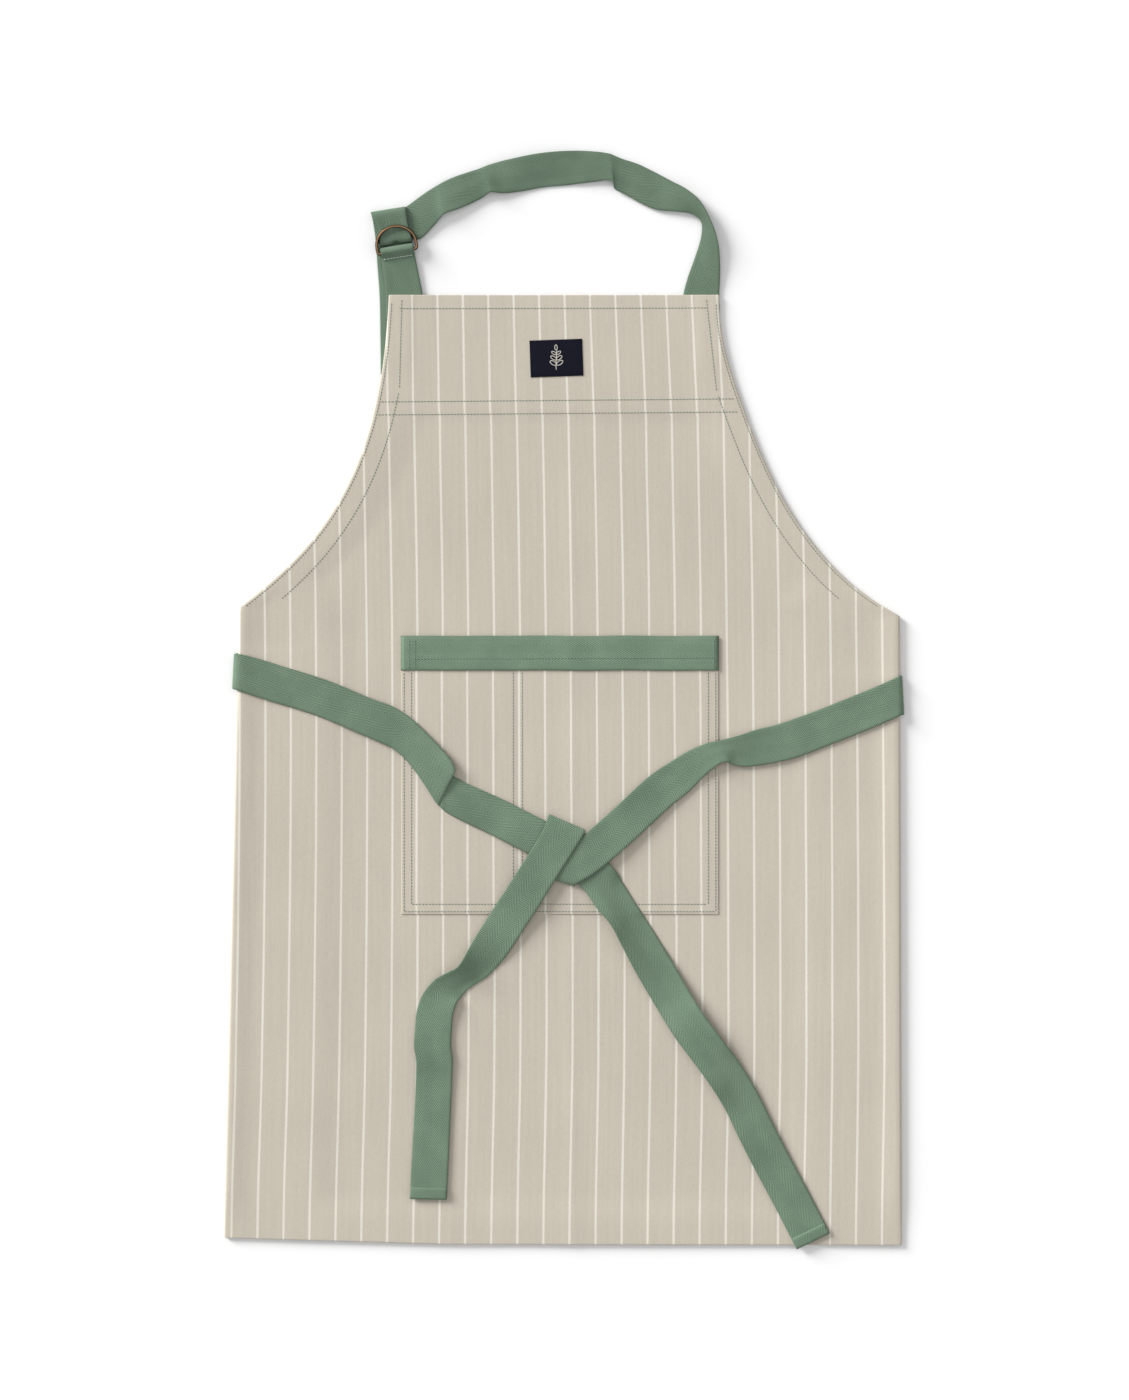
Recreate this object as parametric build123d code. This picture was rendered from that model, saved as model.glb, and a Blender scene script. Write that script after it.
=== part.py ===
from build123d import *
import math
import os

# Apron of striped cotton canvas with webbing straps, laid flat on its back: +X to the wearer's
# left as the front is looked at, +Y towards the neck, +Z up out of the front. Millimetres.

# Cloth, webbing, thread and wire
CLOTH_T = 0.8
WEB_W = 35.0
WEB_T = 1.2
THREAD_W = 0.8
THREAD_T = 0.3
WIRE_D = 2.4
GAP = 0.1

# Heights: two layers of webbing fit under the front cloth
PANEL_Z = 2 * WEB_T
FRONT_Z = PANEL_Z + CLOTH_T
POCKET_TOP = FRONT_Z + CLOTH_T
TIE_Z = POCKET_TOP + THREAD_T + GAP

# Front cloth: bib top, waist fold, side folds and bottom edge
BIB_TOP_Y = 384.0
BIB_LEFT_X = -165.5
BIB_RIGHT_X = 147.0
FOLD_Y = 105.0
LEFT_WAIST = (-307.0, 88.0)
RIGHT_WAIST = (318.0, 80.0)
LEFT_FOOT = (-321.5, -509.5)
MIDDLE_FOOT = (-110.0, -515.5)
RIGHT_FOOT = (320.0, -516.5)
CORNER_R = 5.0
LEFT_ARMHOLE = [(-169, 335), (-180, 271), (-202, 209), (-238, 152), (-275, 114)]
RIGHT_ARMHOLE = [(149.5, 347), (168, 282), (198, 209), (233, 152), (268, 114)]

# Hems, facing and folded-under sides
ARMHOLE_HEM_W = 20.0
FACING_DROP = 113.0
FLAP_W = 80.0
FLAP_SLOPE = 34.0
SIDE_HEM_W = 12.0
BOTTOM_HEM_W = 20.0
TOP_STITCH_INSET = 13.0
FACING_ROW_GAP = 12.0
EDGE_INSET = 3.0
FOLD_CLEAR = 1.5
ROW_END_INSET = 8.0
BEYOND = 400.0
CENTRE = 100.0

# Pocket, its webbing binding and its divider
POCKET_W = 300.5
POCKET_H = 264.0
POCKET_X = -3.75
POCKET_TOP_Y = 61.0
BINDING_H = 33.0
POCKET_ROW_GAP = 9.0
DIVIDER_X = -48.0
BINDING_ROW_INSET = 11.0

# Woven label
LABEL_W = 50.0
LABEL_H = 35.0
LABEL_T = 0.7
LABEL_X = -7.0
LABEL_DROP = 60.0
LABEL_TILT = 2.0

# Tab with two D-rings, at the left end of the bib's top edge
TAB_X = -151.0
TAB_LEAN = 9.0
TAB_ROOT = 25.0
TAB_LOOP_W = 33.0
LOOP_START = 37.3
LOOP_END = 46.5
BAR_AT = 41.5
RING_W = 37.6
RING_H = 23.5
RING_FOOT_R = 2.2
RING_SHOULDER_R = 17.0
RING_CROWN_R = 20.0
RING_OVER_STRAP = 12.0
TURN_AT = 50.0
TURN_TOP = 80.0
STRAP_IN_RING = 0.96

# Neck strap: sewn end at the right, then a route as (x, y above the bib's top edge, heading,
# share of the width seen)
NECK_ROOT_X = 130.3
NECK_ROOT = 38.0
HINGE_GAP = 0.2
TAIL_X = -157.0
TAIL_LENGTH = 76.0
NECK_ROUTE = [
    (134.0, 29.5, 105, 0.78),
    (136.8, 59.0, 117, 0.38),
    (126.5, 81.0, 143, 0.43),
    (94.6, 95.0, 163, 0.93),
    (64.9, 109.0, 171, 1.00),
    (46.0, 117.6, 180, 0.97),
    (28.0, 121.0, 187, 0.90),
    (-0.3, 120.0, 188, 0.92),
    (-40.3, 114.5, 192, 0.90),
    (-77.0, 107.0, 203, 0.76),
    (-111.8, 91.8, 208, 0.83),
    (-144.5, 66.0, 197, 0.86),
]

# Waist ties: sewn to the folded-under sides, round the side folds and over the front
TIE_ROOT_GAP = 2.0
TIE_EASE = 1.0
LEFT_WRAP = (-314.5, 27.0)
RIGHT_WRAP = (321.0, 4.7)
LEFT_ROUTE = [
    (-314.5, 27.0, -8, 1.00),
    (-272.0, 15.5, -15, 1.00),
    (-229.0, 2.0, -18, 1.00),
    (-184.0, -17.0, -24, 1.00),
    (-150.0, -40.0, -39, 1.00),
    (-124.0, -67.0, -49, 0.95),
    (-107.0, -88.0, -42, 0.95),
    (-72.0, -106.0, -27, 1.00),
    (-44.0, -120.0, -27, 1.00),
]
LEFT_PASS = [
    (-44.0, -120.0, -27, 1.00),
    (-8.0, -139.0, -32, 1.00),
    (34.0, -168.5, -55, 1.00),
]
RIGHT_ROUTE = [
    (321.0, 4.7, 186, 1.00),
    (285.0, -11.0, 199, 1.00),
    (245.0, -27.0, 198, 1.00),
    (205.0, -41.0, 197, 1.00),
    (176.0, -48.0, 190, 0.95),
    (155.0, -49.0, 193, 0.60),
    (138.0, -56.0, 208, 0.95),
    (110.0, -73.0, 212, 1.00),
    (91.5, -86.0, 216, 1.00),
    (67.5, -109.0, 222, 1.00),
]

# Overhand knot: the right tie passes over the left one, folds under, comes up and folds over
CROSS_ROUTE = [(67.5, -109.0, 222, 1.00), (42.0, -131.0, 221, 1.00)]
UNDER_FOLD = [(12.0, -174.5), (-25.0, -163.0)]
OVER_FOLD = [(-15.6, -110.0), (19.4, -125.2)]
LEFT_EXIT = (-42.2, -192.0)
LEFT_EXIT_HEADING = 238.0

# Loose ends, from the knot to their hemmed ends, with heights above the front cloth
END_HEM = 11.0
LEFT_TAIL = [
    (-42.2, -192.0, 238, 1.00, 4.8),
    (-58.8, -216.5, 238, 1.00, 1.4),
    (-82.5, -250.0, 234, 0.88, 0.3),
    (-99.5, -264.0, 226, 0.68, 0.3),
    (-116.5, -281.0, 252, 0.93, 0.3),
    (-123.3, -308.5, 268, 1.00, 0.3),
    (-122.5, -340.0, 271, 1.00, 0.3),
    (-124.0, -391.5, 268, 1.00, 0.3),
    (-128.2, -472.5, 267, 1.00, 0.3),
]
RIGHT_TAIL = [
    (34.0, -168.5, -55, 1.00, 2.4),
    (56.0, -202.0, -55, 0.88, 1.4),
    (83.3, -249.3, -58, 1.00, 1.4),
    (118.7, -308.0, -55, 1.00, 2.6),
    (152.4, -354.0, -55, 1.00, 1.6),
    (168.7, -381.5, -64, 0.98, 0.3),
    (195.1, -433.8, -62, 1.00, 0.3),
    (236.2, -512.3, -62, 1.00, 0.3),
]


def slab(points, low, high):
    """A flat piece with straight edges through the points, between two heights."""
    face = make_face(Polyline(*points, close=True))
    return Pos(0, 0, low) * extrude(face, amount=high - low)


def block(low, high):
    """A box from its lowest to its highest corner."""
    size = [high[i] - low[i] for i in range(3)]
    middle = [(high[i] + low[i]) / 2 for i in range(3)]
    return Pos(*middle) * Box(*size)


def stitch_row(start, end, height):
    """One row of stitching, drawn as a thin raised line between two points."""
    run = math.dist(start, end)
    turn = math.degrees(math.atan2(end[1] - start[1], end[0] - start[0]))
    middle = ((start[0] + end[0]) / 2, (start[1] + end[1]) / 2)
    row = Box(run, THREAD_W, THREAD_T)
    return Pos(middle[0], middle[1], height + THREAD_T / 2) * Rot(0, 0, turn) * row


def across(x, y, heading, share):
    """The right and left edge points of webbing at a place on its route."""
    turn = math.radians(heading)
    half = WEB_W / 2 * share
    side = (math.sin(turn) * half, -math.cos(turn) * half)
    return (x + side[0], y + side[1]), (x - side[0], y - side[1])


def ribbon(places, lows, thickness):
    """Webbing as a closed solid through places on its route, with a lower height for each."""
    corners = []
    for place, low in zip(places, lows):
        right, left = across(*place[:4])
        ring = [(*right, low), (*left, low), (*left, low + thickness), (*right, low + thickness)]
        corners.append(ring)
    faces = []
    for near, far in zip(corners, corners[1:]):
        for i in range(4):
            j = (i + 1) % 4
            faces.append(Face(Wire.make_polygon([near[i], near[j], far[j]], close=True)))
            faces.append(Face(Wire.make_polygon([near[i], far[j], far[i]], close=True)))
    faces.append(Face(Wire.make_polygon(corners[0], close=True)))
    faces.append(Face(Wire.make_polygon(corners[-1], close=True)))
    return Solid(Shell(faces))


def apron_outline():
    """The front cloth as it lies: bib, armhole curves, side folds and bottom edge."""
    left_armhole = Spline((BIB_LEFT_X, BIB_TOP_Y), *LEFT_ARMHOLE, LEFT_WAIST)
    right_armhole = Spline((BIB_RIGHT_X, BIB_TOP_Y), *RIGHT_ARMHOLE, RIGHT_WAIST)
    top = Line((BIB_LEFT_X, BIB_TOP_Y), (BIB_RIGHT_X, BIB_TOP_Y))
    rest = Polyline(LEFT_WAIST, LEFT_FOOT, MIDDLE_FOOT, RIGHT_FOOT, RIGHT_WAIST)
    return make_face([*top.edges(), *right_armhole.edges(), *rest.edges(), *left_armhole.edges()])


def cloth(low, high, outline):
    """The whole outline as a sheet between two heights."""
    return Pos(0, 0, low) * extrude(outline, amount=high - low)


def zone(low_x, high_x, low_y, high_y):
    """A tall box that keeps one region of a flat piece."""
    return block((low_x, low_y, -BEYOND), (high_x, high_y, BEYOND))


def half(side):
    """The outer half of the apron on one side, as low and high X."""
    return (-BEYOND, -CENTRE) if side < 0 else (CENTRE, BEYOND)


def edge_band(side, inset, width, low, high, outline):
    """A band that follows one armhole, from its inset to its inset plus width."""
    step = (0.8 * -side, -0.6)
    sheet = cloth(low, high, outline)
    near = Pos(step[0] * inset, step[1] * inset, 0) * sheet
    far = Pos(step[0] * (inset + width), step[1] * (inset + width), 0)
    band = near - far * Pos(0, 0, -1) * cloth(low, high + 2, outline)
    return band & sheet


def fold_x(side, y):
    """The X of a side fold at a height along the apron."""
    top, foot = side_fold(side)
    return top[0] + (foot[0] - top[0]) * (top[1] - y) / (top[1] - foot[1])


def side_fold(side):
    """The upper and lower end of a side fold."""
    return (LEFT_WAIST, LEFT_FOOT) if side < 0 else (RIGHT_WAIST, RIGHT_FOOT)


def tie_root_x(side, y):
    """Where a tie starts, just short of the hem of the folded-under side."""
    return fold_x(side, y) - side * (FLAP_W - SIDE_HEM_W - TIE_ROOT_GAP)


def flap_strip(side, start, width):
    """A lengthwise strip of a folded-under side, measured inwards from its fold."""
    top, foot = side_fold(side)
    outer, inner = start, start + width
    points = [
        (top[0] - side * outer, top[1] - FLAP_SLOPE * outer / FLAP_W),
        (foot[0] - side * outer, foot[1]),
        (foot[0] - side * inner, foot[1]),
        (top[0] - side * inner, top[1] - FLAP_SLOPE * inner / FLAP_W),
    ]
    return slab(points, 0, PANEL_Z)


def tie_channel(side, wrap_y):
    """The room that a tie takes under a folded-under side."""
    low_y, high_y = wrap_y - WEB_W / 2 - TIE_EASE, wrap_y + WEB_W / 2 + TIE_EASE
    ends = sorted((tie_root_x(side, wrap_y) - side * TIE_EASE, side * BEYOND))
    return block((ends[0], low_y, -TIE_EASE), (ends[1], high_y, WEB_T))


def tie_root(side, wrap):
    """The hidden run of a tie, from its sewn end out to the side fold, and its turn up."""
    low_y, high_y = wrap[1] - WEB_W / 2, wrap[1] + WEB_W / 2
    ends = sorted((tie_root_x(side, wrap[1]), wrap[0]))
    run = block((ends[0], low_y, 0), (ends[1], high_y, WEB_T))
    walls = sorted((wrap[0], wrap[0] + side * WEB_T))
    wall = block((walls[0], low_y, 0), (walls[1], high_y, TIE_Z + WEB_T))
    return run + wall


def ramp(start, end, count):
    """Evenly spaced heights from one value to another."""
    return [start + (end - start) * i / (count - 1) for i in range(count)]


def left_tie():
    """Left tie: flat run over the front, rising to pass through the knot in its second layer."""
    second = TIE_Z + WEB_T
    front = ribbon(LEFT_ROUTE[:-1], [TIE_Z] * (len(LEFT_ROUTE) - 1), WEB_T)
    rise = ribbon(LEFT_ROUTE[-2:], [TIE_Z, second], WEB_T)
    through = ribbon(LEFT_PASS, [second] * len(LEFT_PASS), WEB_T)
    return tie_root(-1, LEFT_WRAP) + front + rise + through


def right_tie():
    """Right tie: flat run, then third layer, turn under, bottom layer, turn over, top layer."""
    first, third, fourth = TIE_Z, TIE_Z + 2 * WEB_T, TIE_Z + 3 * WEB_T
    front = ribbon(RIGHT_ROUTE[:-1], [first] * (len(RIGHT_ROUTE) - 1), WEB_T)
    rise = ribbon(RIGHT_ROUTE[-2:], [first, third], WEB_T)
    start = ribbon(CROSS_ROUTE, [third, third], WEB_T)
    near_right, near_left = across(*CROSS_ROUTE[-1])
    over = slab([near_left, UNDER_FOLD[0], UNDER_FOLD[1], near_right], third, third + WEB_T)
    turn_under = fold_wall(UNDER_FOLD[0], UNDER_FOLD[1], first, third + WEB_T)
    under = slab([*UNDER_FOLD, *OVER_FOLD], first, first + WEB_T)
    turn_over = fold_wall(OVER_FOLD[0], OVER_FOLD[1], first, fourth + WEB_T)
    exit_right, exit_left = across(*LEFT_EXIT, LEFT_EXIT_HEADING, 1.0)
    top = slab([OVER_FOLD[0], OVER_FOLD[1], exit_left, exit_right], fourth, fourth + WEB_T)
    knot = over + turn_under + under + turn_over + top
    return tie_root(1, RIGHT_WRAP) + front + rise + start + knot


def fold_wall(start, end, low, high):
    """The outside of a flat fold in webbing, standing along the fold line."""
    run = math.dist(start, end)
    out = ((end[1] - start[1]) / run * WEB_T, (start[0] - end[0]) / run * WEB_T)
    if out[1] * (start[1] + 143) < 0:
        out = (-out[0], -out[1])
    far = [(end[0] + out[0], end[1] + out[1]), (start[0] + out[0], start[1] + out[1])]
    return slab([start, end, *far], low, high)


def tail(route):
    """A loose end of a tie, from the knot to its hem."""
    return ribbon(route, [FRONT_Z + place[4] for place in route], WEB_T)


def tail_hem(route):
    """The turned end of a tie, a second layer on top of its last stretch."""
    x, y, heading, share, height = route[-1]
    turn = math.radians(heading)
    back = (x - END_HEM * math.cos(turn), y - END_HEM * math.sin(turn), heading, share)
    low = FRONT_Z + height + WEB_T
    return ribbon([back, route[-1]], [low, low], WEB_T / 2)


def on_tab(shape):
    """Places a piece drawn along the tab where the tab leans on the bib's top edge."""
    return Pos(TAB_X, BIB_TOP_Y, 0) * Rot(0, 0, TAB_LEAN) * shape


def tab_point(across_tab, along_tab):
    """A point beside the tab, in the apron's own frame."""
    turn = math.radians(TAB_LEAN)
    x = TAB_X + across_tab * math.cos(turn) - along_tab * math.sin(turn)
    y = BIB_TOP_Y + across_tab * math.sin(turn) + along_tab * math.cos(turn)
    return x, y


BAR_LOW = 2 * WEB_T + WIRE_D / 2 + GAP / 2
BAR_HIGH = BAR_LOW + WIRE_D + GAP / 2
TURN_LAYER = BAR_LOW + WIRE_D / 2 + GAP / 2
OVER_STRAP_Z = TURN_LAYER + WEB_T + WIRE_D / 2 + GAP
CROWN_HIGH = BAR_HIGH + (OVER_STRAP_Z - BAR_HIGH) * RING_H / RING_OVER_STRAP
ROOF = BAR_HIGH + WIRE_D / 2 + GAP
HINGE_Y = BIB_TOP_Y + HINGE_GAP
LOOP_Y = HINGE_Y + HINGE_GAP


def d_ring(bar_height, crown_height):
    """A wire D-ring lying on its bar: straight bar, tight feet, and a round crown."""
    half = RING_W / 2
    foot = RING_FOOT_R
    crown_centre = RING_H - RING_CROWN_R
    reach = RING_CROWN_R - RING_SHOULDER_R
    shoulder_x = half - RING_SHOULDER_R
    shoulder_rise = math.sqrt(reach ** 2 - shoulder_x ** 2)
    shoulder_y = crown_centre + shoulder_rise
    crown_x = shoulder_x / reach * RING_CROWN_R
    crown_y = crown_centre + shoulder_rise / reach * RING_CROWN_R
    bar = Line((-half + foot, 0), (half - foot, 0))
    right_foot = RadiusArc((half - foot, 0), (half, foot), -foot)
    right_leg = Line((half, foot), (half, shoulder_y))
    right_shoulder = RadiusArc((half, shoulder_y), (crown_x, crown_y), -RING_SHOULDER_R)
    crown = RadiusArc((crown_x, crown_y), (-crown_x, crown_y), -RING_CROWN_R)
    left_shoulder = RadiusArc((-crown_x, crown_y), (-half, shoulder_y), -RING_SHOULDER_R)
    left_leg = Line((-half, shoulder_y), (-half, foot))
    left_foot = RadiusArc((-half, foot), (-half + foot, 0), -foot)
    pieces = [bar, right_foot, right_leg, right_shoulder, crown, left_shoulder, left_leg, left_foot]
    path = Wire([edge for piece in pieces for edge in piece.edges()])
    section = Plane(origin=(0, 0, 0), z_dir=(1, 0, 0)) * Circle(WIRE_D / 2)
    wire = sweep(section, path=path, transition=Transition.ROUND)
    tilt = math.degrees(math.asin((crown_height - bar_height) / RING_H))
    return on_tab(Pos(0, BAR_AT, bar_height) * Rot(tilt, 0, 0) * wire)


def ring_tab():
    """The tab from the bib's edge to its loop, with a straight tunnel for the two bars."""
    half = TAB_LOOP_W / 2
    root = [(TAB_X + WEB_W / 2, LOOP_Y), (TAB_X - WEB_W / 2, LOOP_Y)]
    top = [tab_point(-half, LOOP_END), tab_point(half, LOOP_END)]
    sheet = slab([*root, *top], WEB_T, PANEL_Z)
    outer = on_tab(block((-half, LOOP_START, PANEL_Z), (half, LOOP_END, ROOF + WEB_T)))
    tunnel = block((-half - 1, LOOP_START + WEB_T, PANEL_Z), (half + 1, LOOP_END - WEB_T, ROOF))
    return sheet + (outer - on_tab(tunnel))


def neck_strap():
    """Neck strap from the bib's right corner over the loop and down into the rings."""
    start = (NECK_ROOT_X, LOOP_Y, 90, 1.0)
    places = [start, *[(x, BIB_TOP_Y + y, *rest) for x, y, *rest in NECK_ROUTE]]
    arc = ribbon(places, [WEB_T] * len(places), WEB_T)
    half = WEB_W / 2 * STRAP_IN_RING
    edge_right, edge_left = across(*places[-1])
    corner = tab_point(-half, TURN_AT + WEB_T)
    end = tab_point(half, TURN_AT + WEB_T)
    down = slab([edge_right, edge_left, end, corner], WEB_T, PANEL_Z)
    return arc + down


def neck_strap_turn():
    """The strap's way back: up through the rings, over the lower crown, turned down behind."""
    half = WEB_W / 2 * STRAP_IN_RING
    high = TURN_LAYER + WEB_T
    rise = on_tab(block((-half, TURN_AT, WEB_T), (half, TURN_AT + WEB_T, high)))
    front = on_tab(block((-half, TURN_AT, TURN_LAYER), (half, TURN_TOP, high)))
    top = on_tab(block((-half, TURN_TOP, 0), (half, TURN_TOP + WEB_T, high)))
    foot = [(TAIL_X + WEB_W / 2, LOOP_Y), (TAIL_X - WEB_W / 2, LOOP_Y)]
    back = slab([*foot, tab_point(-half, TURN_TOP), tab_point(half, TURN_TOP)], 0, WEB_T)
    return rise + front + top + back


def sewn_end(x, length, low):
    """A webbing end held under the bib cloth, from the bib's top edge down."""
    return block((x - WEB_W / 2, BIB_TOP_Y - length, low), (x + WEB_W / 2, BIB_TOP_Y, low + WEB_T))


def pocket_rows():
    """Double rows down both sides and along the bottom of the pocket, and two for the divider."""
    left, right = POCKET_X - POCKET_W / 2, POCKET_X + POCKET_W / 2
    foot, top = POCKET_TOP_Y - POCKET_H, POCKET_TOP_Y - BINDING_H
    near, far = EDGE_INSET, EDGE_INSET + POCKET_ROW_GAP
    low_row, high_row = foot + near, foot + far
    rows = [stitch_row((x, low_row), (x, top), POCKET_TOP) for x in (left + near, right - near)]
    ends = (left + near + THREAD_W, right - near - THREAD_W)
    rows.append(stitch_row((ends[0], low_row), (ends[1], low_row), POCKET_TOP))
    rows.append(stitch_row((left + far, high_row), (right - far, high_row), POCKET_TOP))
    inner = high_row + THREAD_W
    for x in (left + far, right - far, DIVIDER_X, DIVIDER_X + POCKET_ROW_GAP):
        rows.append(stitch_row((x, inner), (x, top), POCKET_TOP))
    return Compound(rows)


def binding_rows():
    """The row along the pocket binding and the bar tacks at its ends."""
    left, right = POCKET_X - POCKET_W / 2, POCKET_X + POCKET_W / 2
    foot = POCKET_TOP_Y - BINDING_H
    high = POCKET_TOP + WEB_T
    row_y = foot + BINDING_ROW_INSET
    ends = (left + POCKET_ROW_GAP, right - POCKET_ROW_GAP)
    rows = [stitch_row((ends[0] + THREAD_W, row_y), (ends[1] - THREAD_W, row_y), high)]
    rows += [stitch_row((x, foot + 2), (x, POCKET_TOP_Y - 2), high) for x in ends]
    return Compound(rows)


def bib_rows(outline):
    """Rows through the bib: top edge, the facing's lower edge, and both armhole edges."""
    high = FRONT_Z + THREAD_T
    sheet = cloth(FRONT_Z, high, outline)
    rows = []
    facing_y = BIB_TOP_Y - FACING_DROP
    for y in (BIB_TOP_Y - TOP_STITCH_INSET, facing_y, facing_y + FACING_ROW_GAP):
        line = zone(-BEYOND, BEYOND, y - THREAD_W / 2, y + THREAD_W / 2) & sheet
        box = line.bounding_box()
        low_x, high_x = box.min.X + ROW_END_INSET, box.max.X - ROW_END_INSET
        rows.append(line & zone(low_x, high_x, y - THREAD_W, y + THREAD_W))
    for side in (-1, 1):
        arm = edge_band(side, EDGE_INSET, THREAD_W, FRONT_Z, high, outline)
        rows.append(arm & zone(*half(side), FOLD_Y + FOLD_CLEAR, BIB_TOP_Y - EDGE_INSET))
    return rows


def label_rows():
    """The row of stitching round the label."""
    inset = 2.0
    half_w, half_h = LABEL_W / 2 - inset, LABEL_H / 2 - inset
    high = FRONT_Z + LABEL_T
    rows = []
    for sign in (-1, 1):
        rows.append(stitch_row((-half_w, sign * half_h), (half_w, sign * half_h), high))
        end = half_h - THREAD_W
        rows.append(stitch_row((sign * half_w, -end), (sign * half_w, end), high))
    place = Pos(LABEL_X, BIB_TOP_Y - LABEL_DROP, 0) * Rot(0, 0, LABEL_TILT)
    return Compound([place * row for row in rows])


def tab_row():
    """The row that closes the tab's loop, just below its wall."""
    half = TAB_LOOP_W / 2
    at = LOOP_START - 2 * THREAD_W
    return on_tab(stitch_row((-half + 1, at), (half - 1, at), PANEL_Z))


def build():
    """Every piece of the apron, by name."""
    outline = apron_outline()
    front = cloth(PANEL_Z, FRONT_Z, outline)
    under = cloth(0, PANEL_Z, outline)
    facing_y = BIB_TOP_Y - FACING_DROP
    uprights = front.edges().filter_by(Axis.Z).sort_by(Axis.X)
    front = fillet([uprights[0], uprights[-1]], CORNER_R)
    pieces = {}
    pieces["skirt_panel"] = front & zone(-BEYOND, BEYOND, RIGHT_FOOT[1] - BEYOND, FOLD_Y)
    pieces["bib_panel"] = front & zone(-BEYOND, BEYOND, FOLD_Y, facing_y)
    pieces["bib_yoke"] = front & zone(-BEYOND, BEYOND, facing_y, BIB_TOP_Y)

    tab_root = sewn_end(TAB_X, TAB_ROOT, WEB_T)
    neck_root = sewn_end(NECK_ROOT_X, NECK_ROOT, WEB_T)
    strap_tail = sewn_end(TAIL_X, TAIL_LENGTH, 0)
    facing = under & zone(-BEYOND, BEYOND, facing_y, BIB_TOP_Y)
    pieces["bib_facing"] = facing - tab_root - neck_root - strap_tail
    pieces["ring_tab_root"] = tab_root
    pieces["neck_strap_root"] = neck_root
    pieces["neck_strap_tail"] = strap_tail
    for side, name in ((-1, "left"), (1, "right")):
        band = edge_band(side, 0, ARMHOLE_HEM_W, 0, PANEL_Z, outline)
        pieces["armhole_hem_" + name] = band & zone(*half(side), FOLD_Y, facing_y)
        wrap = LEFT_WRAP if side < 0 else RIGHT_WRAP
        channel = tie_channel(side, wrap[1])
        flap = flap_strip(side, 0, FLAP_W - SIDE_HEM_W)
        pieces["side_flap_" + name] = flap - channel
        pieces["side_hem_" + name] = flap_strip(side, FLAP_W - SIDE_HEM_W, SIDE_HEM_W)

    hem_left = LEFT_FOOT[0] + FLAP_W + TIE_EASE
    hem_right = RIGHT_FOOT[0] - FLAP_W - TIE_EASE
    hem = under & zone(hem_left, hem_right, RIGHT_FOOT[1], RIGHT_FOOT[1] + BOTTOM_HEM_W)
    pieces["bottom_hem"] = hem

    left, right = POCKET_X - POCKET_W / 2, POCKET_X + POCKET_W / 2
    foot = POCKET_TOP_Y - POCKET_H
    binding_y = POCKET_TOP_Y - BINDING_H
    pieces["pocket_panel"] = block((left, foot, FRONT_Z), (right, POCKET_TOP_Y, POCKET_TOP))
    binding_top = (right, POCKET_TOP_Y, POCKET_TOP + WEB_T)
    pieces["pocket_binding"] = block((left, binding_y, POCKET_TOP), binding_top)
    pieces["pocket_stitching"] = pocket_rows()
    pieces["binding_stitching"] = binding_rows()

    label = Rot(0, 0, LABEL_TILT) * Box(LABEL_W, LABEL_H, LABEL_T)
    label_y = BIB_TOP_Y - LABEL_DROP
    pieces["woven_label"] = Pos(LABEL_X, label_y, FRONT_Z + LABEL_T / 2) * label
    pieces["label_stitching"] = label_rows()
    pieces["bib_stitching"] = Compound([s for row in bib_rows(outline) for s in row.solids()])

    pieces["ring_tab"] = ring_tab()
    pieces["tab_stitching"] = tab_row()
    pieces["d_ring_lower"] = d_ring(BAR_LOW, BAR_LOW)
    pieces["d_ring_upper"] = d_ring(BAR_HIGH, CROWN_HIGH)
    pieces["neck_strap"] = neck_strap()
    pieces["neck_strap_turn"] = neck_strap_turn()

    pieces["waist_tie_left"] = left_tie()
    pieces["waist_tie_right"] = right_tie()
    pieces["tie_end_left"] = tail(LEFT_TAIL)
    pieces["tie_end_right"] = tail(RIGHT_TAIL)
    pieces["tie_end_hem_left"] = tail_hem(LEFT_TAIL)
    pieces["tie_end_hem_right"] = tail_hem(RIGHT_TAIL)
    return pieces


os.makedirs("parts", exist_ok=True)
for node, piece in build().items():
    export_step(piece, os.path.join("parts", node + ".step"))
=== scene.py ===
"""A striped canvas bib apron laid flat, its webbing straps, D-rings, label and stitching."""

import math
import random

import bpy
import numpy as np
from bpy.props import FloatProperty, FloatVectorProperty, PointerProperty
from mathutils import Matrix, Vector, noise


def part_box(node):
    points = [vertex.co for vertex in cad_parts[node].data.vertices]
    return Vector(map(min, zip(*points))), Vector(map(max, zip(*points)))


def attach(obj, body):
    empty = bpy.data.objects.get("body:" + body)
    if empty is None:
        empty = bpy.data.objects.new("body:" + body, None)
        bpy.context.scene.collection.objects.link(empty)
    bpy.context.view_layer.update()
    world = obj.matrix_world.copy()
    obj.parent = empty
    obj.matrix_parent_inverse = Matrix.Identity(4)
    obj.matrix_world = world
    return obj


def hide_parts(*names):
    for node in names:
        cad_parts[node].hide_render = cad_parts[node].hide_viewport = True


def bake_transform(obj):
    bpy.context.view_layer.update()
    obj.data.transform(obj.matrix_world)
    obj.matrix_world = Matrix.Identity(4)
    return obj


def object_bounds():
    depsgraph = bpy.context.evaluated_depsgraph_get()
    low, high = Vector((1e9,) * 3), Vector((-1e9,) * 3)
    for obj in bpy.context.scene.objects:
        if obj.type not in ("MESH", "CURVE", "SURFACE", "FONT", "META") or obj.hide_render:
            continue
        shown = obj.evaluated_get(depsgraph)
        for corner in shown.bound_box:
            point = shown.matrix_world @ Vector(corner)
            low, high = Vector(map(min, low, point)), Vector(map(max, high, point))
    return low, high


bl_info = {
    "name": "Laid-flat bib apron",
    "version": (1, 0, 0),
    "blender": (4, 5, 0),
    "location": "View3D > Sidebar > Apron",
    "description": "Builds a striped canvas bib apron with webbing straps around its CAD frame",
    "category": "Add Mesh",
}

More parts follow.
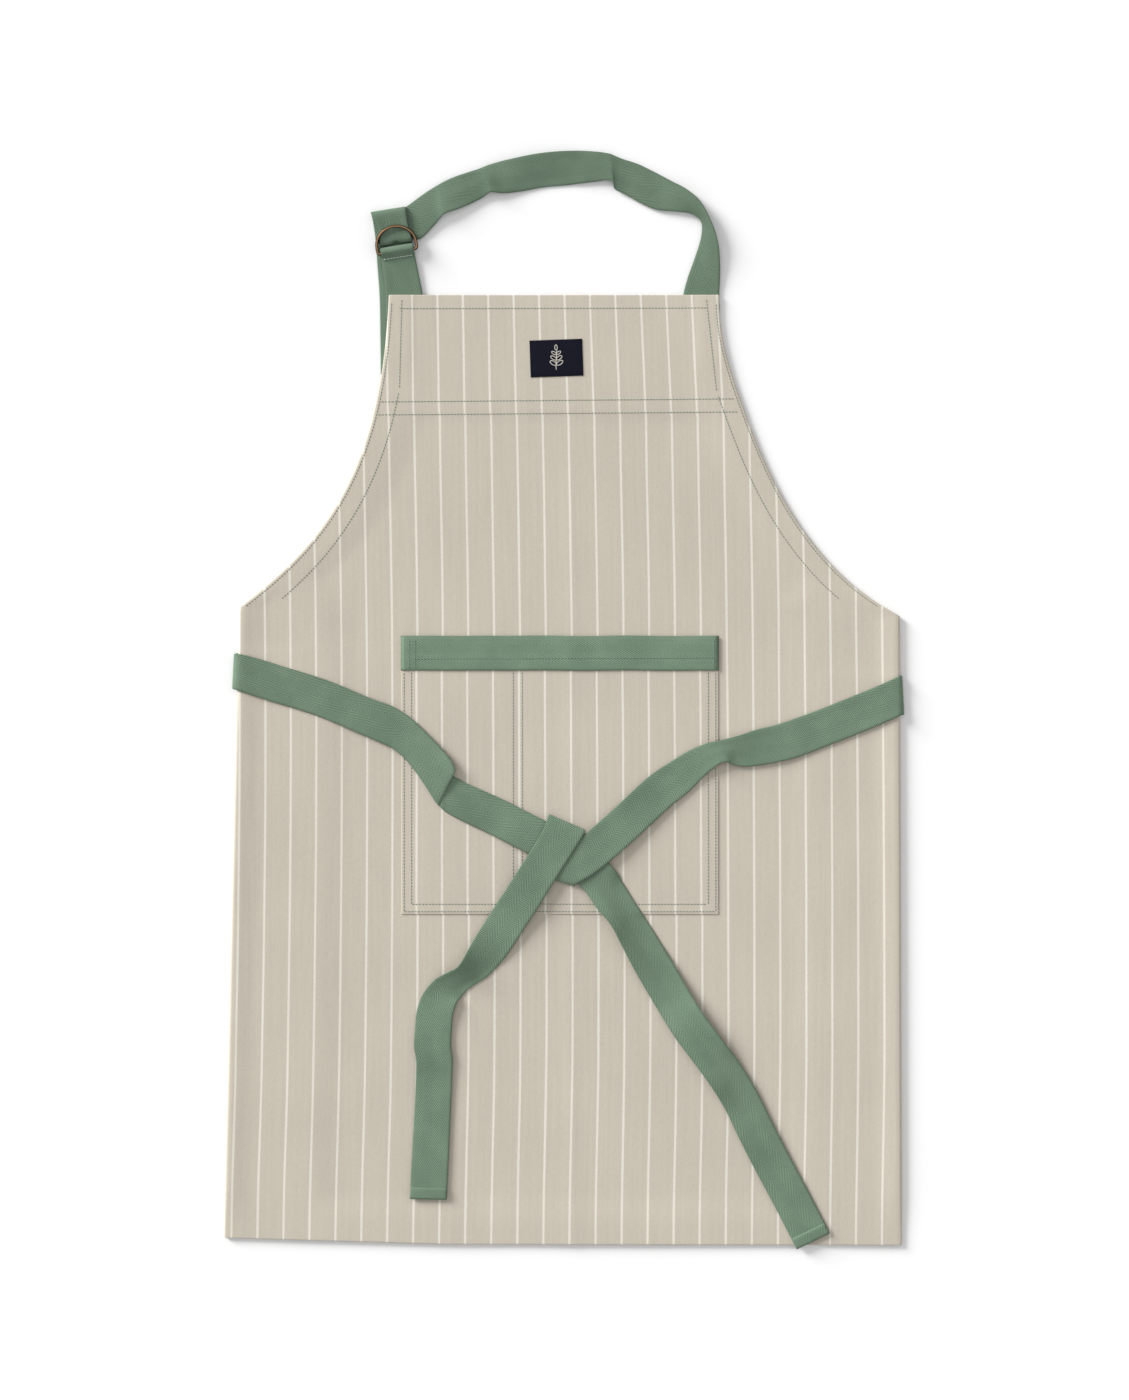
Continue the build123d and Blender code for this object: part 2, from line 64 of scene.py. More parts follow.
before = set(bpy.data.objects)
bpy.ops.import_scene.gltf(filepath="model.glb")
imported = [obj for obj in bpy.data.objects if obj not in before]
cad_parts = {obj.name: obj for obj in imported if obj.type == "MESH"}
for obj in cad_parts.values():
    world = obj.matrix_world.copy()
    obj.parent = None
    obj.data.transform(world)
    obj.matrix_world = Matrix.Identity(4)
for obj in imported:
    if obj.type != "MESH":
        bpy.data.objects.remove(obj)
CAD_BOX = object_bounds()
MM = 0.001


def linear(code):
    """An sRGB hex colour as linear red, green and blue."""
    parts = [int(code[i : i + 2], 16) / 255 for i in (1, 3, 5)]
    return tuple(c / 12.92 if c <= 0.04045 else ((c + 0.055) / 1.055) ** 2.4 for c in parts)


def colour(name, text, code):
    """A colour property with its default from an sRGB hex value."""
    return FloatVectorProperty(
        name=name, description=text, subtype="COLOR", size=3, min=0, max=1, default=linear(code)
    )


def length(name, text, default):
    """A length property in metres."""
    return FloatProperty(name=name, description=text, default=default, unit="LENGTH", precision=5)


class ApronClothSettings(bpy.types.PropertyGroup):
    """Canvas of the apron and its pocket"""

    ground: colour("Ground", "Greige warp and weft of the canvas", "#BEB6A8")
    stripe: colour("Stripe", "Cream warp threads of the stripes", "#D9D4C8")
    thickness: length("Thickness", "Thickness of the canvas", 0.8 * MM)
    pitch: length("Stripe pitch", "Distance from stripe to stripe", 24.5 * MM)
    stripe_width: length("Stripe width", "Width of one stripe", 2.1 * MM)


class ApronWebbingSettings(bpy.types.PropertyGroup):
    """Cotton webbing of the straps, ties, tab and pocket binding"""

    # The webbing's two colours are one sage green, painted lighter on its raised twill lines and darker in
    # its sunk ones: painted light and shade.
    light: colour("Light thread", "Sage green thread on the raised lines", "#7E937E")
    dark: colour("Dark thread", "Sage green in the sunk lines", "#556B58")
    width: length("Width", "Width of the webbing", 35 * MM)
    thickness: length("Thickness", "Thickness of the webbing", 1.3 * MM)
    column: length("Herringbone column", "Width of one herringbone column", 8.75 * MM)
    line: length("Herringbone line", "Length of one herringbone line along the webbing", 3.0 * MM)


class ApronTrimSettings(bpy.types.PropertyGroup):
    """Sewing thread, label and D-rings"""

    thread: colour("Thread", "Sage grey sewing thread", "#6F7F74")
    pale_thread: colour("Pale thread", "Pale green thread of the tab's row", "#B9CFBF")
    stitch: length("Stitch length", "From one stitch to the next", 3.1 * MM)
    label: colour("Label", "Navy ground of the woven label", "#0B0D1C")
    motif: colour("Label motif", "Cream weft of the label's motif", "#C9C6BC")
    # The brass colour is painted along the rings' top as a painted highlight; the patina colour marks the
    # patina's patches and also paints shade on the wire's sides.
    brass: colour("Brass", "Brass of the D-rings where it is rubbed bright", "#B08A68")
    patina: colour("Patina", "Blackened brass of the D-rings", "#2E2019")


class ApronStageSettings(bpy.types.PropertyGroup):
    """Floor, light and camera"""

    floor: colour("Floor", "Plain pale floor", "#F1F1F1")
    surround: FloatProperty(name="Surround", description="Even light from all round", default=0.66)
    key: FloatProperty(name="Key light", description="Irradiance of the low soft key light", default=5.0)
    height: length("Camera height", "How far above the apron the camera is", 3.2)
    view: length("View height", "Height of the floor that the camera sees", 1.3278)


def settings(group):
    """One group of settings: cloth, webbing, trim or stage."""
    return getattr(bpy.context.scene, "apron_" + group)


# Shared shape functions. Places in the tables are millimetres in the apron's frame.


def step(low, high, value):
    """Smooth step from 0 at low to 1 at high."""
    t = min(max((value - low) / (high - low), 0.0), 1.0)
    return t * t * (3 - 2 * t)


def waves(x, y, size_x, size_y, seed):
    """Gentle noise about zero, stretched to a length each way."""
    return noise.noise(Vector((x / size_x, y / size_y, seed)))


def outline_side(side):
    """Y and X of the front cloth's outline on one side, read from the frame, in millimetres."""
    points = set()
    for name in ("skirt_panel", "bib_panel", "bib_yoke"):
        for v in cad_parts[name].data.vertices:
            if side * v.co.x > 0.14:
                points.add((round(v.co.y / MM, 2), round(v.co.x / MM, 2)))
    ordered = sorted(points)
    return np.array([p[0] for p in ordered]), np.array([p[1] for p in ordered])


SIDES = {side: outline_side(side) for side in (-1, 1)}
BIB_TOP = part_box("bib_yoke")[1].y / MM
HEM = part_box("skirt_panel")[0].y / MM
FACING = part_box("bib_yoke")[0].y / MM
CLOTH_MID = (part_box("bib_panel")[0].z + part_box("bib_panel")[1].z) / 2 / MM
POCKET_LOW, POCKET_HIGH = (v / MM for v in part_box("pocket_panel"))
BINDING_LOW, BINDING_HIGH = (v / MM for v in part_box("pocket_binding"))
PLY_GAP = 0.05
REST_GAP = 0.08
OVER_CLOTH = 2.0
WIRE = 1.35
THREAD = 0.34

# Plies under the front cloth, its corner at the waist, and how it lies over them.
FLAP_WIDTH = 80.0
SIDE_PLY = 78.0
ARMHOLE_HEM = 20.0
ARMHOLE_PLY = 18.0
WAIST = 88.0
SAG = 1.1
SIDE_STAND = 1.5
CREASE_X = 7.0
CREASE_WIDTH = 7.0
TIE_BUMPS = ((-1, 27.0), (1, 5.0))

# How the stripes run: the middle one's place, its bow, and where the cloth is drawn aside.
STRIPE_X = 8.8
STRIPE_BOW = 2.6
BIB_SHIFT = 1.1
HEM_SHIFT = 1.8
YOKE_SHIFT = 0.6
YOKE_LEAN = 0.0157
LEFT_SHIFT = 4.2
SKIRT_FLARE = 0.01 / 856
TOP_DRAW = 0.00014

# The double row that divides the pocket, the label, and the tab with its rings.
POCKET_DIVIDER = (-48.0, -39.4)
POCKET_DIP_X = -43.5
POCKET_SHIFT = 1.1
LABEL_AT = (-7.0, 324.0)
LABEL_TILT = math.radians(2)
LABEL_HALF = (25.0, 17.5)
LABEL_THICK = 0.7
TAB_X = -151.0
TAB_LEAN = 9.0
BAR_AT = 41.5

# The key light stands low at the upper left, and is broad, so shadows are wide and soft.
KEY_RISE = 18.0
KEY_BEARING = -36.0
KEY_SPREAD = 24.0
FLOOR_HALF = 30.0
FLOOR_DROP = 0.0004


def edge(side, y):
    """X of the outline on one side at a height."""
    return float(np.interp(y, *SIDES[side]))


def hem_rise(x):
    """How far the lower edge lies above its lowest point, which is at the right."""
    return float(np.interp(x, [-321, -110, 320], [7.0, 0.9, 0.0]))


def inside_by(x, y):
    """How far a place is inside the outline, across the apron; negative outside it."""
    return min(x - edge(-1, y), edge(1, y) - x)


def lie(x, y):
    """Height of the middle of the front cloth as it lies."""
    inside = inside_by(x, y)
    bib = step(80, 120, y)
    # Past the plies folded under it the cloth sags towards the surface, less over the facing.
    plies = SIDE_PLY + (ARMHOLE_PLY - SIDE_PLY) * bib
    free = step(plies, plies + 34, inside) * step(18, 50, y - HEM)
    free *= 1 - 0.6 * step(FACING - 10, FACING + 6, y)
    z = CLOTH_MID - SAG * free
    # The folds down the skirt's sides stand up.
    z += SIDE_STAND * (1 - step(0, 26, inside)) * (1 - bib) * step(0, 60, y - HEM)
    # Broad swells run up the cloth and across it, and short ones everywhere.
    z += 0.55 * waves(x, y, 130, 430, 3.1) * step(0, 60, inside)
    z += 0.30 * waves(x, y, 420, 70, 8.7) * step(0, 30, inside)
    z += 0.16 * waves(x, y, 46, 60, 5.3)
    # A faint crease runs down the middle from below the label.
    crease = step(-BIB_TOP * 0.9, -BIB_TOP * 0.3, -y) * (1 + 0.5 * waves(x, y, 900, 90, 1.9))
    z += 0.55 * math.exp(-abs(x - CREASE_X) / CREASE_WIDTH) * crease
    # The bib's top corners lie on the webbing sewn behind them, and the sides on the ties' ends.
    z += 0.5 * step(300, 330, y) * step(130, 140, abs(x + 8))
    for side, height in TIE_BUMPS:
        along = step(-6, 6, 22 - abs(y - height))
        z += 0.35 * along * step(-6, 6, side * x - 242)
    return max(z, 0.55)


def pocket_lie(x, y):
    """Height of the middle of the pocket cloth."""
    thick = settings("cloth").thickness / MM
    swell = 0.5 * step(0, 24, x - POCKET_LOW.x) * step(0, 24, POCKET_HIGH.x - x)
    swell *= step(0, 30, y - POCKET_LOW.y) * (0.6 + 0.4 * waves(x, y, 60, 80, 4.4))
    divide = 1 - math.exp(-(((x - POCKET_DIP_X) / 7) ** 2))
    return lie(x, y) + thick + PLY_GAP + swell * divide


def binding_lie(x, y):
    """Height of the middle of the webbing along the pocket's mouth."""
    thick = settings("cloth").thickness + settings("webbing").thickness
    return pocket_lie(x, y) + thick / 2 / MM + PLY_GAP


def top_at(x, y):
    """Height of the uppermost face under a tie: pocket, front cloth or the surface below."""
    cloth = settings("cloth").thickness / MM
    if inside_by(x, y) < -0.5 or y < HEM:
        return 0.0
    around = min(x - POCKET_LOW.x, POCKET_HIGH.x - x, y - POCKET_LOW.y, POCKET_HIGH.y - y)
    on = step(-2.5, 0.5, around)
    front = lie(x, y) + cloth / 2
    return front + on * (pocket_lie(x, y) - lie(x, y)) if on else front


def grain(x, y):
    """Place in the cut cloth: across the stripes and along them, in millimetres."""
    drift = STRIPE_X - STRIPE_BOW * ((y + 200) / 450) ** 2
    drift -= BIB_SHIFT * step(60, 270, y) + HEM_SHIFT * step(330, 500, -y)
    if y > FACING:
        drift -= YOKE_SHIFT + YOKE_LEAN * (y - FACING)
    left = min(1.0, max(0.0, (-x - 90) / 200))
    drift += LEFT_SHIFT * left * math.exp(-(((y + 20) / 330) ** 2))
    spread = 1.001 + SKIRT_FLARE * (60 - y) - TOP_DRAW * max(0.0, y - 285)
    return (x - drift) / spread + 0.25 * waves(x, y, 60, 90, 2.2), y


def finish_mesh(name, points, faces, places, material):
    """A smooth mesh object from points in millimetres, with its cut places as UVs in metres."""
    mesh = bpy.data.meshes.new(name)
    mesh.from_pydata([tuple(c * MM for c in p) for p in points], [], faces)
    layer = mesh.uv_layers.new(name="cut")
    index = np.empty(len(mesh.loops), np.int32)
    mesh.loops.foreach_get("vertex_index", index)
    flat = (np.array(places, float)[:, :2] * MM)[index]
    layer.data.foreach_set("uv", flat.astype(np.float32).ravel())
    mesh.polygons.foreach_set("use_smooth", [True] * len(mesh.polygons))
    mesh.materials.append(material)
    mesh.update()
    piece = bpy.data.objects.new(name, mesh)
    bpy.context.scene.collection.objects.link(piece)
    return piece


def shell(name, middle, normals, share, places, thickness, material):
    """A closed sheet about a grid of middle points. share is 0 on the rim, where faces meet."""
    rows, columns = len(middle), len(middle[0])
    points, uvs, top, under = [], [], {}, {}
    for j in range(rows):
        for i in range(columns):
            p, n = middle[j][i], normals[j][i]
            half = thickness / 2 * share[j][i]
            top[j, i] = len(points)
            points.append([p[k] + n[k] * half for k in range(3)])
            uvs.append(places[j][i])
            if share[j][i] > 0:
                under[j, i] = len(points)
                points.append([p[k] - n[k] * half for k in range(3)])
                uvs.append(places[j][i])
            else:
                under[j, i] = top[j, i]
    faces = []
    for j in range(rows - 1):
        for i in range(columns - 1):
            a, b, c, d = (j, i), (j, i + 1), (j + 1, i + 1), (j + 1, i)
            faces.append((top[a], top[b], top[c], top[d]))
            faces.append((under[a], under[d], under[c], under[b]))
    return finish_mesh(name, points, faces, uvs, material)


RIM = (0.0, 0.12, 0.45, 1.0)
RIM_SHARE = (0.0, 0.62, 0.95, 1.0)


def rimmed(start, end, pitch, size=1.0):
    """Places from start to end, with three close ones at each end for a rounded rim. size is
    one millimetre in their unit."""
    rim = [size * r for r in RIM]
    inner = np.linspace(start + rim[-1], end - rim[-1], max(2, round((end - start) / pitch)))
    places = [start + r for r in rim[:-1]] + list(inner) + [end - r for r in rim[-2::-1]]
    share = list(RIM_SHARE[:-1]) + [1.0] * len(inner) + list(RIM_SHARE[-2::-1])
    return places, share


def flat_sheet(name, xs, ys, height, thickness, material, outline=None, cut=grain):
    """A closed sheet over a rectangle or, with outline, between two edges in each row."""
    middle, normals, share, places = [], [], [], []
    for y, sy in zip(*ys):
        row = []
        low, high = outline(y) if outline else (0, 0)
        for x, sx in zip(*xs):
            across = low + (high - low) * x if outline else x
            row.append((across, y, height(across, y)))
        middle.append(row)
        normals.append([(0, 0, 1)] * len(row))
        share.append([min(sx, sy) for sx in xs[1]])
        places.append([cut(p[0], p[1]) for p in row])
    return shell(name, middle, normals, share, places, thickness, material)


# Materials


def add(tree, kind, inputs=None, **values):
    """Adds a node, sets its values, and sets its inputs or links them to a node or socket."""
    node = tree.nodes.new(kind)
    for name, value in values.items():
        setattr(node, name, value)
    for socket, value in (inputs or {}).items():
        if isinstance(value, bpy.types.Node):
            value = value.outputs[0]
        if isinstance(value, bpy.types.NodeSocket):
            tree.links.new(value, node.inputs[socket])
        else:
            node.inputs[socket].default_value = value
    return node


def new_material(name):
    """A named material with its tree and its shader."""
    material = bpy.data.materials.new(name)
    material.use_nodes = True
    return material, material.node_tree, material.node_tree.nodes["Principled BSDF"]


def cut_place(tree):
    """Sockets of the place in the cut piece: both ways together, across it and along it."""
    where = add(tree, "ShaderNodeUVMap", uv_map="cut")
    split = add(tree, "ShaderNodeSeparateXYZ", {0: where})
    return where.outputs[0], split.outputs[0], split.outputs[1]


def cotton_canvas():
    """Plain-woven cotton canvas, yarn-dyed greige with cream warp stripes. The yarn is matt and
    a little hairy, and its slubs show as faint flecks along both ways of the cloth."""
    cloth = settings("cloth")
    material, tree, shader = new_material("cotton_canvas_greige_cream_stripe")
    where, u, v = cut_place(tree)
    wander = add(tree, "ShaderNodeTexNoise", {"Vector": where, "Scale": 900.0, "Detail": 1.0})
    shift = add(tree, "ShaderNodeMath", {0: wander, 1: 0.0009}, operation="MULTIPLY")
    placed = add(tree, "ShaderNodeMath", {0: u, 1: shift}, operation="ADD")
    count = add(tree, "ShaderNodeMath", {0: placed, 1: cloth.pitch}, operation="DIVIDE")
    part = add(tree, "ShaderNodeMath", {0: count}, operation="FRACT")
    centred = add(tree, "ShaderNodeMath", {0: part, 1: 0.5}, operation="SUBTRACT")
    apart = add(tree, "ShaderNodeMath", {0: centred}, operation="ABSOLUTE")
    half = cloth.stripe_width / 2 / cloth.pitch
    stripe = add(
        tree,
        "ShaderNodeMapRange",
        {"Value": apart, "From Min": 0.5 - half * 1.35, "From Max": 0.5 - half * 0.65},
        interpolation_type="SMOOTHSTEP",
    )
    # Slubs, at a few millimetres by half a millimetre, run along the warp and the weft.
    along = add(tree, "ShaderNodeMapping", {"Vector": where, "Scale": (1500.0, 160.0, 1.0)})
    across = add(tree, "ShaderNodeMapping", {"Vector": where, "Scale": (160.0, 1500.0, 1.0)})
    warp = add(tree, "ShaderNodeTexNoise", {"Vector": along, "Scale": 1.0})
    weft = add(tree, "ShaderNodeTexNoise", {"Vector": across, "Scale": 1.0})
    slubs = add(tree, "ShaderNodeMath", {0: warp, 1: weft}, operation="ADD")
    # Uneven yarn gives faint bands a few millimetres wide along the warp.
    bands = add(tree, "ShaderNodeMapping", {"Vector": where, "Scale": (300.0, 9.0, 1.0)})
    uneven = add(tree, "ShaderNodeTexNoise", {"Vector": bands, "Scale": 1.0})
    broad = add(tree, "ShaderNodeTexNoise", {"Vector": where, "Scale": 9.0, "Detail": 3.0})
    patchy = add(tree, "ShaderNodeMath", {0: uneven, 1: 1.0, 2: broad}, operation="MULTIPLY_ADD")
    tone = add(
        tree,
        "ShaderNodeMapRange",
        {"Value": slubs, "From Min": 0.6, "From Max": 1.4, "To Min": 0.94, "To Max": 1.05},
    )
    wash = add(
        tree,
        "ShaderNodeMapRange",
        {"Value": patchy, "From Min": 0.7, "From Max": 1.3, "To Min": 0.96, "To Max": 1.035},
    )
    both = add(tree, "ShaderNodeMath", {0: tone, 1: wash}, operation="MULTIPLY")
    coloured = add(
        tree,
        "ShaderNodeMix",
        {0: stripe, 6: (*cloth.ground, 1), 7: (*cloth.stripe, 1)},
        data_type="RGBA",
    )
    shade = add(tree, "ShaderNodeVectorMath", {0: coloured.outputs[2], "Scale": both}, operation="SCALE")
    tree.links.new(shade.outputs[0], shader.inputs["Base Color"])
    # Threads are drawn 1.1 mm apart, coarser than the real half millimetre, so that they show.
    thread = 2 * math.pi / (1.1 * MM)
    warps = add(tree, "ShaderNodeMath", {0: u, 1: thread}, operation="MULTIPLY")
    wefts = add(tree, "ShaderNodeMath", {0: v, 1: thread}, operation="MULTIPLY")
    wave_u = add(tree, "ShaderNodeMath", {0: warps}, operation="SINE")
    wave_v = add(tree, "ShaderNodeMath", {0: wefts}, operation="SINE")
    weave = add(tree, "ShaderNodeMath", {0: wave_u, 1: wave_v}, operation="MULTIPLY")
    rough = add(tree, "ShaderNodeMath", {0: weave, 1: 0.35, 2: slubs}, operation="MULTIPLY_ADD")
    bump = add(tree, "ShaderNodeBump", {"Height": rough, "Strength": 0.5, "Distance": 0.00018})
    tree.links.new(bump.outputs[0], shader.inputs["Normal"])
    shader.inputs["Roughness"].default_value = 0.95
    shader.inputs["Sheen Weight"].default_value = 0.04
    shader.inputs["Sheen Roughness"].default_value = 0.6
    shader.inputs["Specular IOR Level"].default_value = 0.12
    return material


def cotton_webbing(name, painted_light_level):
    """Herringbone-woven cotton webbing, piece-dyed sage green. Its raised twill lines are painted
    lighter and its sunk ones darker, as painted light and shade; the selvedges are darker, and the
    yarn is matt. depth is 1 for the common webbing, less for a copy darkened as painted shade and
    more for a copy lightened as painted light."""
    web = settings("webbing")
    material, tree, shader = new_material(name)
    where, u, v = cut_place(tree)
    zigzag = add(tree, "ShaderNodeMath", {0: u, 1: web.column}, operation="PINGPONG")
    slant = add(tree, "ShaderNodeMath", {0: zigzag, 1: 1.7, 2: v}, operation="MULTIPLY_ADD")
    turns = 2 * math.pi / web.line
    phase = add(tree, "ShaderNodeMath", {0: slant, 1: turns}, operation="MULTIPLY")
    twill = add(tree, "ShaderNodeMath", {0: phase}, operation="SINE")
    fuzz = add(tree, "ShaderNodeTexNoise", {"Vector": where, "Scale": 1400.0, "Detail": 2.0})
    broad = add(tree, "ShaderNodeTexNoise", {"Vector": where, "Scale": 25.0, "Detail": 3.0})
    lift = add(tree, "ShaderNodeMath", {0: twill, 1: 0.34, 2: fuzz}, operation="MULTIPLY_ADD")
    level = add(tree, "ShaderNodeMath", {0: broad, 1: 0.8, 2: lift}, operation="MULTIPLY_ADD")
    # The colour follows the twill's height: raised lines are painted lighter as painted light and sunk
    # lines darker as painted shade, with broad tone that differs at random.
    mixed = add(tree, "ShaderNodeMapRange", {"Value": level, "From Min": 0.4, "From Max": 1.3})
    coloured = add(
        tree,
        "ShaderNodeMix",
        {
            0: mixed,
            6: (*[c * painted_light_level for c in web.dark], 1),
            7: (*[c * painted_light_level for c in web.light], 1),
        },
        data_type="RGBA",
    )
    side = add(tree, "ShaderNodeMath", {0: u}, operation="ABSOLUTE")
    rim = add(
        tree,
        "ShaderNodeMapRange",
        {
            "Value": side,
            "From Min": web.width / 2 - 2.2 * MM,
            "From Max": web.width / 2 - 0.6 * MM,
            "To Min": 1.0,
            "To Max": 0.86,
        },
    )
    shade = add(tree, "ShaderNodeVectorMath", {0: coloured.outputs[2], "Scale": rim}, operation="SCALE")
    tree.links.new(shade.outputs[0], shader.inputs["Base Color"])
    bump = add(tree, "ShaderNodeBump", {"Height": lift, "Strength": 0.8, "Distance": 0.0005})
    tree.links.new(bump.outputs[0], shader.inputs["Normal"])
    shader.inputs["Roughness"].default_value = 0.88
    shader.inputs["Sheen Weight"].default_value = 0.05
    shader.inputs["Sheen Roughness"].default_value = 0.55
    shader.inputs["Specular IOR Level"].default_value = 0.12
    return material


def sewing_thread(name, tint):
    """Two-ply spun polyester sewing thread: matt, with a fine twist that shows as bars."""
    material, tree, shader = new_material(name)
    v = cut_place(tree)[2]
    plies = add(tree, "ShaderNodeMath", {0: v, 1: 2 * math.pi / (0.7 * MM)}, operation="MULTIPLY")
    twist = add(tree, "ShaderNodeMath", {0: plies}, operation="SINE")
    tone = add(
        tree,
        "ShaderNodeMapRange",
        {"Value": twist, "From Min": -1.0, "From Max": 1.0, "To Min": 0.86, "To Max": 1.04},
    )
    base = add(tree, "ShaderNodeRGB")
    base.outputs[0].default_value = (*tint, 1)
    shade = add(tree, "ShaderNodeVectorMath", {0: base, "Scale": tone}, operation="SCALE")
    tree.links.new(shade.outputs[0], shader.inputs["Base Color"])
    shader.inputs["Roughness"].default_value = 0.75
    return material


def woven_label_satin():
    """Damask-woven polyester label: tight navy satin, smoother than the canvas, with fine weft
    ribs and a cream pick that comes up to the face for its border and motif."""
    trim = settings("trim")
    material, tree, shader = new_material("woven_label_navy_satin")
    where, _, v = cut_place(tree)
    # Weft ribs are drawn 0.6 mm apart, twice as coarse as real ones, so that they show.
    ribs = add(tree, "ShaderNodeMath", {0: v, 1: 2 * math.pi / (0.6 * MM)}, operation="MULTIPLY")
    wave = add(tree, "ShaderNodeMath", {0: ribs}, operation="SINE")
    flecks = add(tree, "ShaderNodeTexNoise", {"Vector": where, "Scale": 2600.0, "Detail": 1.0})
    tone = add(
        tree,
        "ShaderNodeMapRange",
        {"Value": flecks, "From Min": 0.3, "From Max": 0.7, "To Min": 0.8, "To Max": 1.25},
    )
    base = add(tree, "ShaderNodeRGB")
    base.outputs[0].default_value = (*trim.label, 1)
    shade = add(tree, "ShaderNodeVectorMath", {0: base, "Scale": tone}, operation="SCALE")
    tree.links.new(shade.outputs[0], shader.inputs["Base Color"])
    bump = add(tree, "ShaderNodeBump", {"Height": wave, "Strength": 0.35, "Distance": 0.0001})
    tree.links.new(bump.outputs[0], shader.inputs["Normal"])
    shader.inputs["Roughness"].default_value = 0.7
    shader.inputs["Specular IOR Level"].default_value = 0.12
    return material


def antiqued_brass():
    """Brass wire, drawn, bent and blackened. A painted highlight makes it warm and bright along its
    top, painted shade makes its sides brown-black, and the patina keeps brown-black patches."""
    trim = settings("trim")
    material, tree, shader = new_material("brass_wire_antiqued")
    where, u, _ = cut_place(tree)
    # Painted highlight: the top of the wire, where its cut place across it is high, is painted bright
    # brass, and its sides take the patina colour as painted shade.
    painted_highlight = add(
        tree,
        "ShaderNodeMapRange",
        {"Value": u, "From Min": 0.74 * WIRE * MM, "From Max": 1.0 * WIRE * MM},
        interpolation_type="SMOOTHSTEP",
    )
    patina = add(tree, "ShaderNodeTexNoise", {"Vector": where, "Scale": 260.0, "Detail": 4.0})
    highlight_share = add(tree, "ShaderNodeMath", {0: patina, 1: -0.5, 2: painted_highlight}, operation="MULTIPLY_ADD")
    bright = add(tree, "ShaderNodeMapRange", {"Value": highlight_share, "From Min": 0.0, "From Max": 0.55})
    base = add(
        tree,
        "ShaderNodeMix",
        {0: bright, 6: (*trim.patina, 1), 7: (*trim.brass, 1)},
        data_type="RGBA",
    )
    tree.links.new(base.outputs[2], shader.inputs["Base Color"])
    dull = add(
        tree,
        "ShaderNodeMapRange",
        {"Value": patina, "From Min": 0.3, "From Max": 0.7, "To Min": 0.28, "To Max": 0.5},
    )
    tree.links.new(dull.outputs[0], shader.inputs["Roughness"])
    shader.inputs["Metallic"].default_value = 1.0
    return material


MATERIALS = {}


def material_of(name):
    """A material by its short name, made once."""
    if name not in MATERIALS:
        trim = settings("trim")
        makers = {
            "canvas": cotton_canvas,
            "webbing": lambda: cotton_webbing("cotton_webbing_sage_herringbone", 1.0),
            # The strap and tab's copy of the webbing is darker as painted shade; the binding's copy is
            # lighter as painted light.
            "painted_shade": lambda: cotton_webbing("cotton_webbing_sage_painted_shade_herringbone", 0.9),
            "painted_light": lambda: cotton_webbing("cotton_webbing_sage_painted_light_herringbone", 1.09),
            "thread": lambda: sewing_thread("sewing_thread_sage_grey", trim.thread),
            "pale": lambda: sewing_thread("sewing_thread_pale_green", trim.pale_thread),
            "cream": lambda: sewing_thread("label_weft_cream", trim.motif),
            "label": woven_label_satin,
            "brass": antiqued_brass,
        }
        MATERIALS[name] = makers[name]()
    return MATERIALS[name]


# Webbing. A place is (x, y, height, side angle, share of the width seen, roll): the side angle
# points from the left edge to the right one, and keeps its sense where the webbing folds over.


class Edges:
    """A place on webbing given by its two edge points, where it is pinched or skewed."""

    def __init__(self, left, right):
        self.left, self.right = left, right


def edges_of(place):
    """The left and right edge points of a place."""
    if isinstance(place, Edges):
        return [*place.left, *place.right]
    x, y, z, side, share, roll = place
    half = settings("webbing").width / MM / 2 * share
    turn, tip = math.radians(side), math.radians(roll)
    lift = half * math.tan(tip)
    arm = (half * math.cos(turn), half * math.sin(turn), lift)
    return [x - arm[0], y - arm[1], z - arm[2], x + arm[0], y + arm[1], z + arm[2]]


def smooth(places, pitch=3.5):
    """Edge points along a route: a centripetal curve through the places' edges."""
    knots = np.array([edges_of(p) for p in places], float)
    middle = (knots[:, :3] + knots[:, 3:]) / 2
    gaps = np.linalg.norm(np.diff(middle, axis=0), axis=1)
    times = np.concatenate([[0], np.cumsum(np.sqrt(np.maximum(gaps, 0.05)))])
    ends = [2 * knots[0] - knots[1], 2 * knots[-1] - knots[-2]]
    p = np.vstack([ends[0], knots, ends[1]])
    t = np.concatenate([[2 * times[0] - times[1]], times, [2 * times[-1] - times[-2]]])
    out = []
    for k in range(1, len(p) - 2):
        count = max(3, round(gaps[k - 1] / pitch))
        for s in np.linspace(t[k], t[k + 1], count, endpoint=False):
            a = [
                (t[k + i] - s) / (t[k + i] - t[k + i - 1]) * p[k + i - 1]
                + (s - t[k + i - 1]) / (t[k + i] - t[k + i - 1]) * p[k + i]
                for i in (0, 1, 2)
            ]
            b = [
                (t[k + i] - s) / (t[k + i] - t[k + i - 2]) * a[i - 1]
                + (s - t[k + i - 2]) / (t[k + i] - t[k + i - 2]) * a[i]
                for i in (1, 2)
            ]
            out.append((t[k + 1] - s) / (t[k + 1] - t[k]) * b[0] + (s - t[k]) / (t[k + 1] - t[k]) * b[1])
    out.append(p[-2])
    return np.array(out)


ACROSS = (-1.0, -0.985, -0.94, -0.8, -0.55, -0.28, 0.0, 0.28, 0.55, 0.8, 0.94, 0.985, 1.0)
FULL = (0.0, 0.6, 1.0, 0.97, 1.0, 1.0, 1.0, 1.0, 1.0, 0.97, 1.0, 0.6, 0.0)


